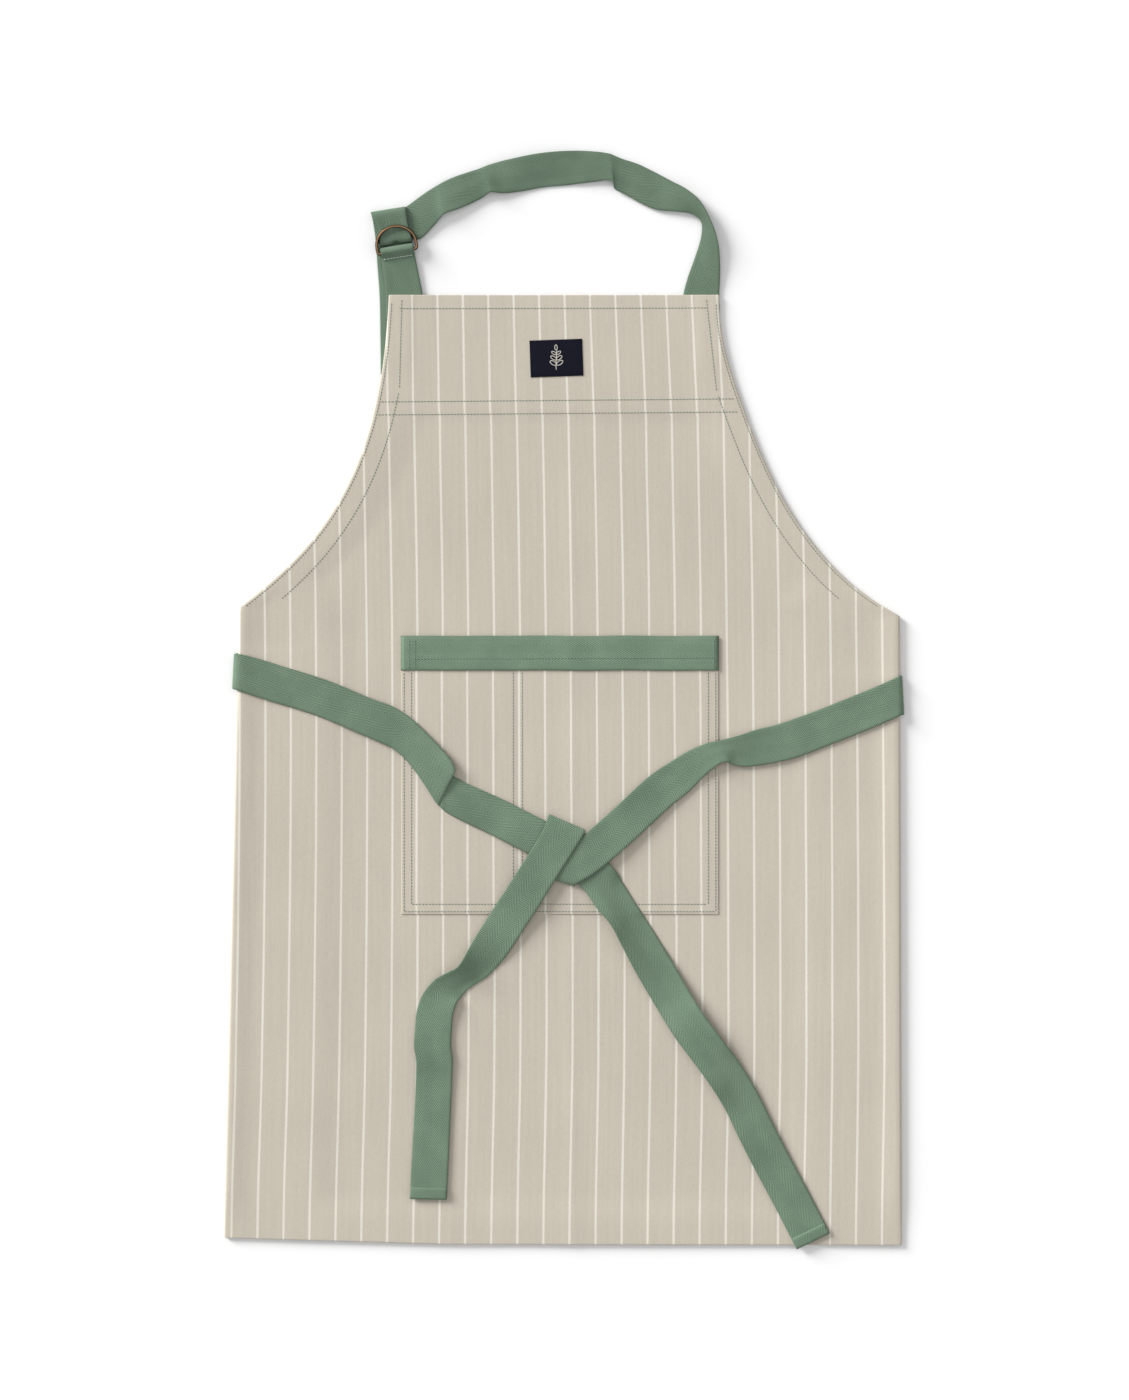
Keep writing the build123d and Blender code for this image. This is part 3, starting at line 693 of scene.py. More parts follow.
def webbing_strip(name, places, crown=0.25, ground=None, finish="webbing", pucker=None):
    """Webbing along a route, with rounded selvedges, resting on ground where it is given. A
    pucker is (place, shift, reach): the shift of the webbing's middle near one place."""
    web = settings("webbing")
    sections = smooth(places)
    middle = (sections[:, :3] + sections[:, 3:]) / 2
    ahead = np.gradient(middle, axis=0)
    side = sections[:, 3:] - sections[:, :3]
    up = np.cross(side, ahead)
    up /= np.maximum(np.linalg.norm(up, axis=1), 1e-9)[:, None]
    run = np.concatenate([[0], np.cumsum(np.linalg.norm(np.diff(middle, axis=0), axis=1))])
    thick = web.thickness / MM
    rows, normals, share, cuts = [], [], [], []
    for j in range(len(sections)):
        sign = 1 if up[j][2] >= 0 else -1
        row = []
        for a in ACROSS:
            p = middle[j] + side[j] / 2 * a
            p = p + np.array([0, 0, 1]) * crown * (1 - a * a) * sign * abs(up[j][2])
            if pucker and a == 0.0:
                away = math.dist(middle[j], pucker[0])
                p = p + np.array(pucker[1]) * (1 - step(0.3 * pucker[2], pucker[2], away))
            if ground is not None and middle[j][2] > OVER_CLOTH:
                p[2] = max(p[2], ground(p[0], p[1]) + thick / 2 + REST_GAP)
            p[2] = max(p[2], thick / 2)
            row.append(p)
        rows.append(row)
        normals.append([up[j]] * len(ACROSS))
        ends = min(j, len(sections) - 1 - j)
        cap = (0.0, 0.8)[ends] if ends < 2 else 1.0
        share.append([full * cap for full in FULL])
        cuts.append([(a * web.width / MM / 2, run[j]) for a in ACROSS])
    return shell(name, rows, normals, share, cuts, thick, material_of(finish)), float(run[-1])


LEFT_TIE = [
    (-246, 27, 0.7, 90, 1.0, 0),
    (-275, 27, 0.7, 90, 1.0, 0),
    (-300, 27, 0.7, 90, 1.0, 0),
    (-309, 27, 1.2, 89, 1.0, 0),
    (-312.8, 27.2, 3.4, 87, 0.96, 0),
    (-309, 26.6, 5.8, 85, 0.98, 0),
    (-296, 23, 5.4, 80, 1.0, 0),
    (-272, 15.5, 4.6, 75, 1.0, 0),
    (-229, 2.0, 4.4, 72, 1.0, 0),
    (-189, -14.6, 4.4, 68, 1.0, 0),
    Edges((-176.4, -39.0, 4.5), (-161.0, -6.4, 4.6)),
    Edges((-162.6, -45.6, 4.6), (-143.5, -18.0, 5.0)),
    Edges((-150.4, -56.0, 4.8), (-129.0, -32.0, 6.0)),
    Edges((-139.0, -70.0, 5.0), (-116.5, -45.0, 7.4)),
    Edges((-129.5, -84.0, 4.8), (-107.5, -55.6, 9.2)),
    Edges((-123.0, -94.5, 4.6), (-102.8, -64.6, 9.4)),
    Edges((-119.6, -99.0, 4.6), (-103.2, -68.4, 8.2)),
    Edges((-117.4, -101.2, 4.5), (-107.4, -69.8, 6.2)),
    Edges((-115.4, -103.2, 4.4), (-108.6, -70.0, 4.8)),
    Edges((-111.6, -106.2, 4.4), (-103.6, -72.6, 4.4)),
    Edges((-104.0, -110.6, 4.5), (-92.3, -78.6, 4.5)),
    Edges((-92.3, -116.5, 4.7), (-78.0, -85.0, 4.7)),
    (-64, -110.4, 4.8, 63, 1.0, 0),
    (-44, -120.5, 5.6, 63, 1.0, 0),
    (-12, -137, 6.4, 58, 1.0, 0),
    (16, -154, 6.4, 43, 1.0, 0),
    (34, -170.5, 6.2, 35, 1.0, 0),
]
RIGHT_TAIL = [
    (44, -186, 5.6, 34, 0.97, -12),
    (57, -204, 5.6, 35, 0.88, -22),
    (70, -226, 5.4, 34, 0.95, -12),
    (83.5, -249.5, 5.0, 31, 1.0, -4),
    (101, -279.5, 5.6, 33, 1.0, 4),
    (118.5, -308, 7.6, 36, 1.0, 6),
    (136, -331.5, 8.2, 36, 1.0, 4),
    (152.5, -354, 6.6, 34, 1.0, -4),
    (167.8, -379, 4.6, 27, 0.99, 0),
    (180, -404, 4.3, 27, 1.0, 0),
    (195.1, -433.8, 4.2, 28, 1.0, 0),
    (217, -475, 4.2, 28, 1.0, 0),
    (236.2, -512.3, 4.2, 26, 1.0, 0),
]
RIGHT_TIE = [
    (250, 4.7, 0.7, -90, 1.0, 0),
    (280, 4.7, 0.7, -90, 1.0, 0),
    (308, 4.7, 0.7, -90, 1.0, 0),
    (317.5, 4.7, 1.3, -88, 1.04, 0),
    (321.0, 4.7, 3.4, -87, 1.07, 0),
    (317.5, 3.6, 6.0, -85, 1.05, 0),
    (304, -2.5, 5.8, -76, 1.0, 0),
    (285, -10.5, 4.8, -71, 1.0, 0),
    (245, -26.5, 4.5, -72, 1.0, 0),
    (207, -40, 4.5, -72, 1.0, 0),
    Edges((181.0, -28.4, 4.8), (173.0, -63.2, 4.4)),
    Edges((166.0, -33.4, 5.4), (161.0, -61.6, 5.4)),
    Edges((151.0, -37.4, 6.2), (154.4, -58.6, 7.8)),
    Edges((137.0, -40.4, 6.0), (148.6, -59.8, 7.8)),
    Edges((123.6, -45.4, 5.2), (139.4, -66.4, 6.4)),
    Edges((112.0, -51.6, 5.0), (130.0, -75.0, 5.4)),
    Edges((101.4, -58.4, 5.0), (120.0, -85.4, 5.0)),
    (91.5, -86, 5.6, -54, 1.0, 0),
    (67.5, -108, 6.6, -48, 1.0, 0),
    (42, -131, 7.9, -49, 1.0, 0),
    (16, -152, 7.9, -44, 1.0, 0),
    (-2, -163.6, 7.8, -30, 1.06, 0),
    (-6.4, -168.4, 7.2, -18.5, 1.08, 0),
    (-7.2, -170.2, 6.0, -17.3, 1.08, 0),
    (-6.2, -168.2, 4.9, -17.3, 1.08, 0),
    (-3, -160, 4.8, -18, 1.04, 0),
    (0, -143, 4.8, -20, 1.02, 0),
    (1.4, -124, 4.8, -23.5, 1.06, 0),
    (2.4, -117.6, 5.6, -23.5, 1.08, 0),
    (3.2, -115.8, 7.3, -23.5, 1.08, 0),
    (2.0, -118.6, 9.0, -23.5, 1.08, 0),
    (-4, -131, 9.2, -27, 1.0, 0),
    (-19, -155, 9.0, -31, 0.98, 0),
    (-35, -180.5, 8.4, -32, 1.0, 0),
    (-42.2, -192, 7.6, -32, 1.0, 0),
]
LEFT_TAIL = [
    (-50, -203.5, 6.4, -32, 1.0, 0),
    (-61, -221, 5.0, -32, 1.0, 0),
    (-73, -239, 4.6, -33, 0.96, -6),
    (-85, -254.5, 5.6, -38, 0.80, -22),
    (-92.5, -261, 6.0, -44, 0.68, -26),
    (-101, -266.5, 5.2, -46, 0.72, -18),
    (-109, -272.5, 4.6, -34, 0.86, -8),
    (-117, -282, 4.4, -14, 0.95, 4),
    (-121.8, -295, 4.4, -5, 0.99, 4),
    (-123.6, -312, 4.5, 0, 1.0, 0),
    (-124.4, -328, 4.9, 1, 1.0, 0),
    (-122.6, -340.5, 5.2, 0, 0.99, 0),
    (-122.8, -356, 4.5, -1, 0.98, 0),
    (-124.4, -391.5, 4.2, -1.5, 0.98, 0),
    (-126.6, -435, 4.2, -2, 1.0, 0),
    (-128.4, -472.5, 4.2, -1, 1.0, 0),
]
NECK_STRAP = [
    (130.3, 348, 1.7, 0, 1.0, 0),
    (130.3, 368, 1.7, 0, 1.0, 0),
    Edges((113.5, 385.0, 1.7), (147.4, 385.0, 1.7)),
    Edges((118.0, 402.0, 1.8), (148.0, 400.0, 2.8)),
    Edges((124.5, 420.0, 2.2), (147.8, 418.0, 5.0)),
    Edges((130.4, 440.5, 2.6), (145.0, 438.0, 7.6)),
    Edges((129.6, 454.0, 3.2), (138.2, 456.0, 8.8)),
    Edges((119.5, 461.0, 3.4), (129.4, 472.0, 8.8)),
    Edges((104.6, 463.0, 2.8), (116.5, 483.5, 7.2)),
    Edges((88.0, 464.8, 2.0), (101.4, 492.0, 4.6)),
    Edges((73.0, 471.0, 1.8), (86.0, 500.4, 2.8)),
    Edges((60.0, 478.2, 1.8), (70.0, 508.2, 2.4)),
    Edges((49.0, 483.6, 3.0), (54.0, 513.4, 2.8)),
    Edges((47.2, 486.0, 4.0), (48.0, 516.0, 3.2)),
    Edges((46.6, 490.4, 4.4), (44.6, 517.4, 3.4)),
    Edges((42.0, 492.6, 3.8), (40.4, 518.4, 3.4)),
    Edges((33.0, 491.6, 2.6), (32.0, 519.6, 3.0)),
    Edges((17.0, 489.8, 1.8), (16.0, 520.6, 2.8)),
    (-0.3, 504.0, 2.8, 98, 0.92, 8),
    (-22, 501.8, 3.4, 100, 0.91, 10),
    (-42, 498.0, 3.6, 103, 0.91, 8),
    Edges((-59.0, 480.0, 3.8), (-66.5, 508.6, 4.2)),
    Edges((-68.6, 481.0, 5.6), (-74.6, 505.8, 4.0)),
    Edges((-72.2, 479.6, 4.4), (-80.6, 503.4, 3.4)),
    Edges((-77.4, 475.8, 3.0), (-88.6, 500.8, 3.6)),
    Edges((-97.0, 466.2, 4.2), (-107.0, 494.4, 3.6)),
    Edges((-113.6, 460.0, 5.6), (-118.0, 488.8, 3.6)),
    Edges((-117.4, 456.2, 4.2), (-123.4, 485.6, 3.2)),
    Edges((-122.8, 449.8, 3.0), (-131.6, 480.4, 3.2)),
    (-144, 451.4, 2.0, 121, 0.94, 0),
    (-157, 445.6, 1.7, 152, 0.96, 0),
]


def tab_place(across, along, z, share, turn=0.0):
    """A place beside the tab, from distances across and along it."""
    lean = math.radians(TAB_LEAN)
    x = TAB_X + across * math.cos(lean) - along * math.sin(lean)
    y = BIB_TOP + across * math.sin(lean) + along * math.cos(lean)
    return (x, y, z, TAB_LEAN + turn, share, 0)


def strap_turn():
    """Places of the strap round the lower ring's crown, up to its top fold and back down."""
    flipped = 180
    return [
        tab_place(0, 56, 1.7, 0.96, flipped),
        tab_place(0, 51.5, 2.0, 0.93, flipped),
        tab_place(0, 49.4, 3.6, 0.90, flipped),
        tab_place(0, 51.0, 5.6, 0.88, flipped),
        tab_place(0, 56, 6.3, 0.84, flipped),
        tab_place(0, 63, 6.0, 0.79, flipped),
        tab_place(-1, 71, 6.2, 0.84, flipped),
        tab_place(-2.4, 78.5, 6.4, 0.93, flipped),
        tab_place(-2.6, 81.6, 4.8, 0.96, flipped),
        tab_place(-2.4, 81.2, 2.0, 0.96, flipped),
        tab_place(-2, 76, 0.7, 0.96, flipped),
        tab_place(-2, 60, 0.7, 0.96, flipped),
        (-159.4, 415, 0.7, 184, 1.0, 0),
        (-157.2, 384, 0.7, flipped, 1.0, 0),
        (-156.4, 345, 0.7, flipped, 1.0, 0),
        (-156.0, 309, 0.7, flipped, 1.0, 0),
    ]


def ring_tab_route():
    """Places of the tab: out from the bib, over the two bars, and back to its own back."""
    return [
        (TAB_X, 360, 1.7, 0, 1.0, 0),
        (TAB_X, 374, 1.7, 0, 1.0, 0),
        tab_place(0, 2, 1.9, 0.98, -5),
        tab_place(0, 14, 2.5, 0.95, -2),
        tab_place(0, 28, 3.2, 0.92),
        tab_place(0, 35.5, 3.5, 0.90),
        tab_place(0, 38.6, 5.6, 0.90),
        tab_place(0, 42, 8.2, 0.90),
        tab_place(0, 45.6, 6.8, 0.90),
        tab_place(0, 46.4, 4.6, 0.90),
        tab_place(0, 44.4, 2.2, 0.90),
        tab_place(0, 39, 1.9, 0.90),
        tab_place(0, 31, 1.9, 0.90),
    ]


# Operators


def turned_under(side, y, x_edge):
    """One row of a side of the cloth: its fold and the margin under it, as (x, z, normal, X in
    the cut cloth) from the front to the margin's edge, and the X where the fold begins."""
    slope = (edge(side, y + 4) - edge(side, y - 4)) / 8 if y > 0 else 0
    hem = ARMHOLE_HEM * math.sqrt(1 + min(slope * slope, 4))
    width = FLAP_WIDTH + (hem - FLAP_WIDTH) * step(WAIST - 16, WAIST + 10, y)
    z_low = 0.5 + 0.8 * step(FACING - 8, FACING + 2, y)
    radius = (lie(x_edge - side * 2, y) - z_low) / 2
    roll_x = x_edge - side * radius
    row = []
    for t in np.linspace(0, math.pi, 7):
        x = roll_x + side * radius * math.sin(t)
        z = z_low + radius * (1 + math.cos(t))
        row.append((x, z, (side * math.sin(t), 0, math.cos(t)), x_edge + side * radius * (t - 1)))
    for d in np.linspace(0, width, 9)[1:]:
        rise = 0.0
        for bump_side, height in TIE_BUMPS:
            if bump_side == side:
                rise = 1.25 * step(-5, 4, 19 - abs(y - height)) * step(-5, 5, 68 - d)
        z = z_low + rise * (1 - step(WAIST - 10, WAIST, y))
        row.append((roll_x - side * d, z, (0, 0, -1), x_edge + side * (radius * (math.pi - 1) + d)))
    return row, roll_x


class APRON_OT_front_cloth(bpy.types.Operator):
    """Front cloth, with its armhole hems and its sides folded under"""

    bl_idname = "apron.front_cloth"
    bl_label = "Front cloth"

    def execute(self, context):
        cloth = settings("cloth")
        ys, ends = rimmed(HEM, BIB_TOP, 4.2)
        fronts = np.linspace(0, 1, 150)[1:-1]
        middle, normals, share, places = [], [], [], []
        for y, end in zip(ys, ends):
            # Rows near the hem take its slope, and the sides are read where they then lie.
            lift = step(0, 80, HEM + 80 - y)
            left, left_x = turned_under(-1, y, edge(-1, max(y + 7.0 * lift, HEM + 14)))
            right, right_x = turned_under(1, y, edge(1, max(y, HEM + 7)))
            inner = [left_x + (right_x - left_x) * f for f in fronts]
            whole = left[::-1] + [(x, lie(x, y), (0, 0, 1), x) for x in inner] + right
            heights = [y + lift * hem_rise(x) for x, *_ in whole]
            middle.append([(x, up, z) for (x, z, _, _), up in zip(whole, heights)])
            normals.append([n for _, _, n, _ in whole])
            places.append([grain(u, up) for (_, _, _, u), up in zip(whole, heights)])
            count = len(whole)
            share.append([min(end, (0.0, 0.9, 1.0)[min(i, count - 1 - i, 2)]) for i in range(count)])
        piece = shell(
            "apron_cloth", middle, normals, share, places, cloth.thickness / MM, material_of("canvas")
        )
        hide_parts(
            "skirt_panel", "bib_panel", "bib_yoke", "side_flap_left", "side_flap_right",
            "armhole_hem_left", "armhole_hem_right",
        )
        fold_at_waist(piece)
        return {"FINISHED"}


def fold_at_waist(piece):
    """Bakes the placing of a piece of cloth into its mesh."""
    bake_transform(piece)


def fold_at_neck(piece):
    """Bakes the placing of a piece of webbing into its mesh."""
    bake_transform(piece)


class APRON_OT_facing_and_hems(bpy.types.Operator):
    """Facing behind the bib, the turned lower edge and the hems of the folded-under sides"""

    bl_idname = "apron.facing_and_hems"
    bl_label = "Facing and hems"

    def execute(self, context):
        cloth = settings("cloth")
        thick = cloth.thickness / MM
        canvas = material_of("canvas")

        def under(x, y):
            tail = step(-3, 3, 19 - abs(x + 156.5)) * step(304, 310, y)
            return 0.5 + 1.3 * tail + 0.12 * waves(x, y, 50, 40, 6.6)

        facing = flat_sheet(
            "facing_cloth",
            rimmed(0, 1, 0.014, 0.003),
            rimmed(FACING + 1, BIB_TOP - 0.8, 6),
            under,
            thick,
            canvas,
            outline=lambda y: (edge(-1, y) + 1.2, edge(1, y) - 1.2),
        )
        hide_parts("bib_facing")
        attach(facing, "bib")
        low, high = (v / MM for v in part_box("bottom_hem"))
        hem = flat_sheet(
            "bottom_hem_cloth",
            rimmed(low.x - 60, high.x + 60, 9),
            rimmed(HEM + 1.0, HEM + 20, 5),
            lambda x, y: 1.25,
            2 * thick,
            canvas,
        )
        for v in hem.data.vertices:
            v.co.y += hem_rise(v.co.x / MM) * MM
        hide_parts("bottom_hem")
        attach(hem, "skirt")
        for side, name in ((-1, "side_hem_left"), (1, "side_hem_right")):
            low, high = (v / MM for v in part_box(name))
            foot = edge(side, HEM + 20) - side * (FLAP_WIDTH - 2)
            head = edge(side, WAIST - 40) - side * (FLAP_WIDTH - 2)
            ends = sorted((0, side * 12))

            def strip(y, foot=foot, head=head, ends=ends, top=high.y):
                middle = foot + (head - foot) * (y - HEM) / (top - HEM)
                return middle - ends[1], middle - ends[0]

            piece = flat_sheet(
                name + "_cloth",
                rimmed(0, 1, 0.25, 0.08),
                rimmed(HEM + 8, high.y - 1, 14),
                lambda x, y: 1.3,
                1.5 * thick,
                canvas,
                outline=strip,
            )
            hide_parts(name)
            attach(piece, "skirt")
        return {"FINISHED"}


class APRON_OT_pocket(bpy.types.Operator):
    """Patch pocket and the webbing along its mouth"""

    bl_idname = "apron.pocket"
    bl_label = "Pocket"

    def execute(self, context):
        cloth, web = settings("cloth"), settings("webbing")
        pocket = flat_sheet(
            "pocket_cloth",
            rimmed(POCKET_LOW.x, POCKET_HIGH.x, 3.6),
            rimmed(POCKET_LOW.y, POCKET_HIGH.y - 1, 4.0),
            pocket_lie,
            cloth.thickness / MM,
            material_of("canvas"),
            cut=lambda x, y: grain(x + POCKET_SHIFT, y),
        )
        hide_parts("pocket_panel")
        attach(pocket, "skirt")
        middle = (BINDING_LOW.y + BINDING_HIGH.y) / 2
        height = BINDING_HIGH.y - BINDING_LOW.y
        tall = height / (web.width / MM)
        xs = np.linspace(BINDING_LOW.x - 0.4, BINDING_HIGH.x + 0.4, 22)
        places = [
            (x, middle + 0.45 * waves(x, 0, 40, 1, 9.1), binding_lie(x, middle), 270, tall, 0)
            for x in xs
        ]
        # The binding uses the lighter copy of the webbing: painted light.
        binding, run = webbing_strip("pocket_mouth_webbing", places, crown=0.15, finish="painted_light")
        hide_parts("pocket_binding")
        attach(binding, "skirt")
        return {"FINISHED"}


class APRON_OT_waist_ties(bpy.types.Operator):
    """Waist ties, from the folded-under sides through the knot to their turned ends"""

    bl_idname = "apron.waist_ties"
    bl_label = "Waist ties"

    def execute(self, context):
        web = settings("webbing")
        for side, far_side, route, tail in (
            ("left", "right", LEFT_TIE, RIGHT_TAIL),
            ("right", "left", RIGHT_TIE, LEFT_TAIL),
        ):
            name = side + "_tie_webbing"
            body = "tie_end_" + far_side
            tie, run = webbing_strip(name, route + tail, ground=top_at)
            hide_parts("waist_tie_" + side, body)
            start, after = Vector(route[-1][:2]), Vector(tail[1][:2])
            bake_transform(tie)
            end, before = tail[-1], tail[-2]
            back = (Vector(before[:2]) - Vector(end[:2])).normalized()
            turned = [
                (end[0] + back.x * d, end[1] + back.y * d, end[2] + 1.15 - drop, end[3], 0.985, 0)
                for d, drop in ((-0.3, 0), (3.5, 0), (7.5, 0), (11.0, 0.25))
            ]
            hem, hem_run = webbing_strip(
                "tie_end_" + far_side + "_turned", turned, crown=0.1, ground=tie_hem_ground
            )
            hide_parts("tie_end_hem_" + far_side)
            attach(hem, body)
        return {"FINISHED"}


def tie_hem_ground(x, y):
    """The face of a tie's last stretch, which its turned end lies on."""
    return top_at(x, y) + settings("webbing").thickness / MM + 0.2


class APRON_OT_neck_strap(bpy.types.Operator):
    """Neck strap, from the bib round the neck opening, through the rings and down behind"""

    bl_idname = "apron.neck_strap"
    bl_label = "Neck strap and tab"

    def execute(self, context):
        bend = tab_place(0, 50.2, 3.6, 1)[:3]
        notch = np.subtract(tab_place(0, 52.4, 3.6, 1)[:3], bend)
        # The strap uses the darker copy of the webbing: painted shade.
        strap, run = webbing_strip(
            "neck_strap_webbing", NECK_STRAP + strap_turn(), finish="painted_shade", pucker=(bend, notch, 3.4)
        )
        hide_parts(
            "neck_strap", "neck_strap_root", "neck_strap_turn", "neck_strap_tail"
        )
        fold_at_neck(strap)
        width = settings("webbing").width
        # The tab uses the darker copy of the webbing: painted shade.
        tab, tab_run = webbing_strip("ring_tab_webbing", ring_tab_route(), crown=0.2, finish="painted_shade")
        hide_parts("ring_tab", "ring_tab_root")
        fold_at_neck(tab)
        return {"FINISHED"}


def d_ring_line(half=18.8, tall=23.5, foot=2.2, shoulder=17.0, crown=20.0):
    """The closed centre line of a D-ring, its bar along x at y = 0, in millimetres."""
    reach = crown - shoulder
    centre = tall - crown
    rise = math.sqrt(reach**2 - (half - shoulder) ** 2)
    lean = math.atan2(half - shoulder, rise)
    corner = np.linspace(0, math.pi / 2, 6)
    side = np.linspace(0, math.pi / 2 - lean, 9)
    top = np.linspace(lean, 0, 7)[1:]
    turn_x, turn_y = half - shoulder, centre + rise
    right = [(half - foot + foot * math.sin(a), foot - foot * math.cos(a)) for a in corner]
    right += [(turn_x + shoulder * math.cos(a), turn_y + shoulder * math.sin(a)) for a in side]
    right += [(crown * math.sin(a), centre + crown * math.cos(a)) for a in top]
    return right + [(-x, y) for x, y in right[-2::-1]]


def tube_faces(first, rings, sides, closed=False):
    """Faces of a tube whose rings of points follow one another from first. Its ends are capped
    or, where it is closed, joined."""
    faces = []
    for j in range(rings if closed else rings - 1):
        here, there = first + j * sides, first + (j + 1) % rings * sides
        for k in range(sides):
            after = (k + 1) % sides
            faces.append((here + k, here + after, there + after, there + k))
    if not closed:
        last = first + (rings - 1) * sides
        faces.append(tuple(range(first, first + sides)))
        faces.append(tuple(range(last, last + sides)[::-1]))
    return faces


class APRON_OT_d_rings(bpy.types.Operator):
    """Two D-rings of antiqued brass wire in the tab's loop"""

    bl_idname = "apron.d_rings"
    bl_label = "D-rings"

    def execute(self, context):
        line = d_ring_line()
        sides = 14
        spacing = 2.5
        for name, bar, tilt, body in (
            ("d_ring_lower", 3.65, 0.0, "neck_loop"),
            ("d_ring_upper", 6.1, 6.2, "upper_ring"),
        ):
            lean = math.radians(tilt)
            points, cuts = [], []
            for j, (px, py) in enumerate(line):
                ahead = np.subtract(line[(j + 1) % len(line)], line[j - 1])
                ahead = ahead / np.linalg.norm(ahead)
                for k in range(sides):
                    a = 2 * math.pi * k / sides
                    across = px - ahead[1] * WIRE * math.cos(a)
                    along = py + ahead[0] * WIRE * math.cos(a)
                    up = WIRE * math.sin(a)
                    v = along * math.cos(lean) - up * math.sin(lean)
                    z = bar + along * math.sin(lean) + up * math.cos(lean)
                    points.append(tab_place(across, BAR_AT + v, z, 1)[:3])
                    cuts.append((up, j * spacing))
            faces = tube_faces(0, len(line), sides, closed=True)
            ring = finish_mesh(name + "_wire", points, faces, cuts, material_of("brass"))
            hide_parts(name)
            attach(ring, body)
        return {"FINISHED"}


def on_label(u, v):
    """A point on the label from distances across and up it."""
    x = LABEL_AT[0] + u * math.cos(LABEL_TILT) - v * math.sin(LABEL_TILT)
    y = LABEL_AT[1] + u * math.sin(LABEL_TILT) + v * math.cos(LABEL_TILT)
    return x, y


class APRON_OT_label(bpy.types.Operator):
    """Woven label with a leaf sprig"""

    bl_idname = "apron.label"
    bl_label = "Label"

    def execute(self, context):
        cloth = settings("cloth").thickness / MM
        xs, ex = rimmed(-LABEL_HALF[0], LABEL_HALF[0], 2.5)
        ys, ey = rimmed(-LABEL_HALF[1], LABEL_HALF[1], 2.5)

        def height(u, v):
            """Height of the label's face, which swells between its sewn edges."""
            swell = 0.25 * step(0, 7, LABEL_HALF[0] - abs(u)) * step(0, 7, LABEL_HALF[1] - abs(v))
            return lie(*on_label(u, v)) + cloth / 2 + LABEL_THICK + swell

        middle, normals, share, places = [], [], [], []
        for v, sv in zip(ys, ey):
            middle.append([(*on_label(u, v), height(u, v) - LABEL_THICK / 2) for u in xs])
            normals.append([(0, 0, 1)] * len(xs))
            share.append([min(s, sv) for s in ex])
            places.append([(u, v) for u in xs])
        satin = material_of("label")
        label = shell("label_satin", middle, normals, share, places, LABEL_THICK, satin)
        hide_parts("woven_label")
        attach(label, "bib")

        strokes = [[(0.6 * math.sin(t / 5), t) for t in np.linspace(-11, 8, 14)]]
        for base, reach in ((-6.5, 7.0), (-1.5, 6.2), (3.5, 5.0)):
            for sign in (-1, 1):
                strokes.append(leaf((0.0, base), sign, 32, reach))
        strokes.append(leaf((0.0, 7.5), 1, 90, 5.0))
        motif = thread_strokes("label_motif", strokes, on_label, height, THREAD, material_of("cream"))
        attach(motif, "bib")
        return {"FINISHED"}


def leaf(base, sign, lean, reach):
    """The outline of a pointed leaf that leans from its base to one side."""
    turn = math.radians(lean)
    outline = []
    for t in np.linspace(0, 2 * math.pi, 17):
        along = reach * (1 - math.cos(t)) / 2
        wide = 0.24 * reach * math.sin(t)
        across = along * math.cos(turn) - wide * math.sin(turn)
        outline.append((base[0] + sign * across, base[1] + along * math.sin(turn) + wide * math.cos(turn)))
    return outline


def thread_strokes(name, strokes, place, height, radius, material):
    """Short raised strokes of woven thread along polylines, flattened onto a face."""
    points, faces, cuts = [], [], []
    sides = 6
    for stroke in strokes:
        line = np.array(stroke, float)
        first = len(points)
        for j, (u, v) in enumerate(line):
            ahead = line[min(j + 1, len(line) - 1)] - line[max(j - 1, 0)]
            ahead = ahead / max(np.linalg.norm(ahead), 1e-9)
            thin = 0.55 if j in (0, len(line) - 1) else 1.0
            for k in range(sides):
                a = 2 * math.pi * k / sides
                pu = u - ahead[1] * radius * thin * math.cos(a)
                pv = v + ahead[0] * radius * thin * math.cos(a)
                x, y = place(pu, pv)
                points.append((x, y, height(u, v) + radius * 0.45 * math.sin(a)))
                cuts.append((k * 0.3, j * 0.8))
        faces += tube_faces(first, len(line), sides)
    return finish_mesh(name, points, faces, cuts, material)


def stitches(name, rows, radius, material, dip=0.16):
    """Rows of single stitches. A row is (points, height function); each stitch is a short rod
    that dips into the cloth at both ends. Its shape is (place along it, thickness, arch)."""
    pitch = settings("trim").stitch / MM
    chance = random.Random(11)
    points, faces, cuts = [], [], []
    sides = 5
    shape = ((-0.5, 0.35, -1.0), (-0.32, 0.9, 0.2), (0.0, 1.0, 1.0), (0.32, 0.9, 0.2), (0.5, 0.35, -1.0))
    for line, height in rows:
        line = np.array(line, float)
        gaps = np.linalg.norm(np.diff(line, axis=0), axis=1)
        run = np.concatenate([[0], np.cumsum(gaps)])
        for s in np.arange(pitch / 2, run[-1] - pitch / 3, pitch):
            x, y = (float(np.interp(s, run, line[:, k])) for k in (0, 1))
            x2, y2 = (float(np.interp(s + 0.2, run, line[:, k])) for k in (0, 1))
            ahead = Vector((x2 - x, y2 - y)).normalized()
            turn = chance.uniform(-0.05, 0.05)
            ahead.rotate(Matrix.Rotation(turn, 2))
            z = height(x, y)
            first = len(points)
            for d, thin, arch in shape:
                for k in range(sides):
                    a = 2 * math.pi * k / sides
                    w = radius * thin * math.cos(a)
                    px = x + ahead.x * d * pitch * 0.86 - ahead.y * w
                    py = y + ahead.y * d * pitch * 0.86 + ahead.x * w
                    points.append((px, py, z + dip * arch + radius * thin * math.sin(a)))
                    cuts.append((k * 0.3, s + d * pitch))
            faces += tube_faces(first, len(shape), sides)
    return finish_mesh(name, points, faces, cuts, material)


def straight(a, b, count=24):
    """Points evenly along a line."""
    return [(a[0] + (b[0] - a[0]) * t, a[1] + (b[1] - a[1]) * t) for t in np.linspace(0, 1, count)]


